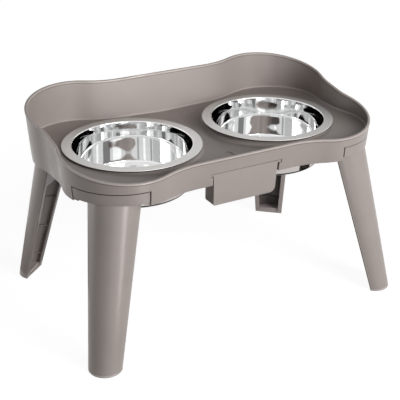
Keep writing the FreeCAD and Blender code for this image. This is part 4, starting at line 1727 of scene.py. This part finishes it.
@dataclass
class Feeder:
    """The whole feeder: makes each piece, gives it its finish and hangs it on its body."""

    tray: Tray = field(default_factory=Tray)
    bowl: Bowl = field(default_factory=Bowl)
    ring: SeatRing = field(default_factory=SeatRing)
    drawer: DripDrawer = field(default_factory=DripDrawer)
    taupe: tuple[float, float, float] = (0.36, 0.315, 0.295)
    soft_taupe: tuple[float, float, float] = (0.50, 0.445, 0.425)
    black: tuple[float, float, float] = (0.018, 0.018, 0.018)
    # Painted light per leg: the edge band, inside and flange-top shades differ by corner as the light falls
    # on each.
    painted_leg_shading: dict[Corner, tuple[float, float, float]] = field(default_factory=lambda: {
        Corner.FRONT_LEFT: (0.35, 0.42, 0.3),
        Corner.FRONT_RIGHT: (0.35, 0.42, 0.8),
        Corner.REAR_LEFT: (0.95, 0.8, 0.8),
        Corner.REAR_RIGHT: (1.3, 0.35, 0.8),
    })

    def hang(self, piece: Piece, node: str, body: str, finish: bpy.types.Material) -> None:
        """Dresses a finished piece and puts it in a node's place.

        Args:
            piece: The piece.
            node: The node that it stands for.
            body: The body that it moves with.
            finish: Its material.
        """
        piece.data.materials.clear()
        piece.data.materials.append(finish)
        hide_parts(node)
        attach(piece, body)
        LOG.info("%s stands for %s on %s, %d faces", piece.name, node, body, len(piece.data.polygons))

    def build_tray(self) -> None:
        """Makes the tray."""
        finish = TrayFinish("tray_satin_plastic", self.taupe).build()
        self.hang(self.tray.build(), "tray", "tray", finish)

    def build_bowls(self) -> None:
        """Makes the bowls and the rings under them."""
        silicone = MouldedFinish("seat_ring_silicone", self.black, (0.5, 0.65), 0.1, 2500.0).build()
        bowl, ring = self.bowl.build(), self.ring.build()
        for side in Side:
            shift = Vector((self.bowl.centre_x * (side.value - 1), 0.0, 0.0))
            steel = SteelFinish("bowl_steel_" + side.label, self.bowl.centre_x * side.value).build()
            piece = Bench.copy(bowl, "steel_bowl_" + side.label, Vector((1, 1, 1)), shift)
            self.hang(piece, "bowl_" + side.label, side.label + "_bowl", steel)
            piece = Bench.copy(ring, "soft_ring_" + side.label, Vector((1, 1, 1)), shift)
            self.hang(piece, "bowl_seat_ring_" + side.label, "tray", silicone)
        for model in (bowl, ring):
            bpy.data.objects.remove(model)

    def build_legs(self) -> None:
        """Makes the four legs and their foot caps."""
        rubber = MouldedFinish("foot_cap_rubber", self.soft_taupe, (0.55, 0.68), 0.05, 2200.0).build()
        for pair in (FRONT_CORNERS, REAR_CORNERS):
            shape = LegPlan.at(pair[0])
            leg, cap = Leg(shape).build(), FootCap(shape).build()
            for corner in pair:
                scale = Vector((*corner.value, 1))
                body = corner.label + "_leg"
                # Each leg gets its own painted edge, inside and top shading.
                edge, inner, top = self.painted_leg_shading[corner]
                plastic = LegFinish(body + "_satin_plastic", self.taupe, shape=shape, painted_edge_shading=edge,
                                    painted_inner_shade=inner, painted_top_shade=top).build()
                piece = Bench.copy(leg, "channel_leg_" + corner.label, scale, Vector())
                self.hang(piece, body, body, plastic)
                piece = Bench.copy(cap, "soft_cap_" + corner.label, scale, Vector())
                self.hang(piece, corner.label + "_foot_cap", body, rubber)
            for model in (leg, cap):
                bpy.data.objects.remove(model)

    def build_drawer(self) -> None:
        """Makes the drip drawer."""
        finish = DrawerFinish("drawer_satin_plastic", self.taupe).build()
        self.hang(self.drawer.build(), "drip_drawer", "drip_drawer", finish)


def main() -> None:
    """Builds the feeder piece by piece, then the studio round it."""
    logging.basicConfig(level=logging.INFO, format="%(name)s: %(message)s")
    feeder = Feeder()
    feeder.build_tray()
    feeder.build_bowls()
    feeder.build_legs()
    feeder.build_drawer()
    Studio().build()


if __name__ == "__main__":
    main()
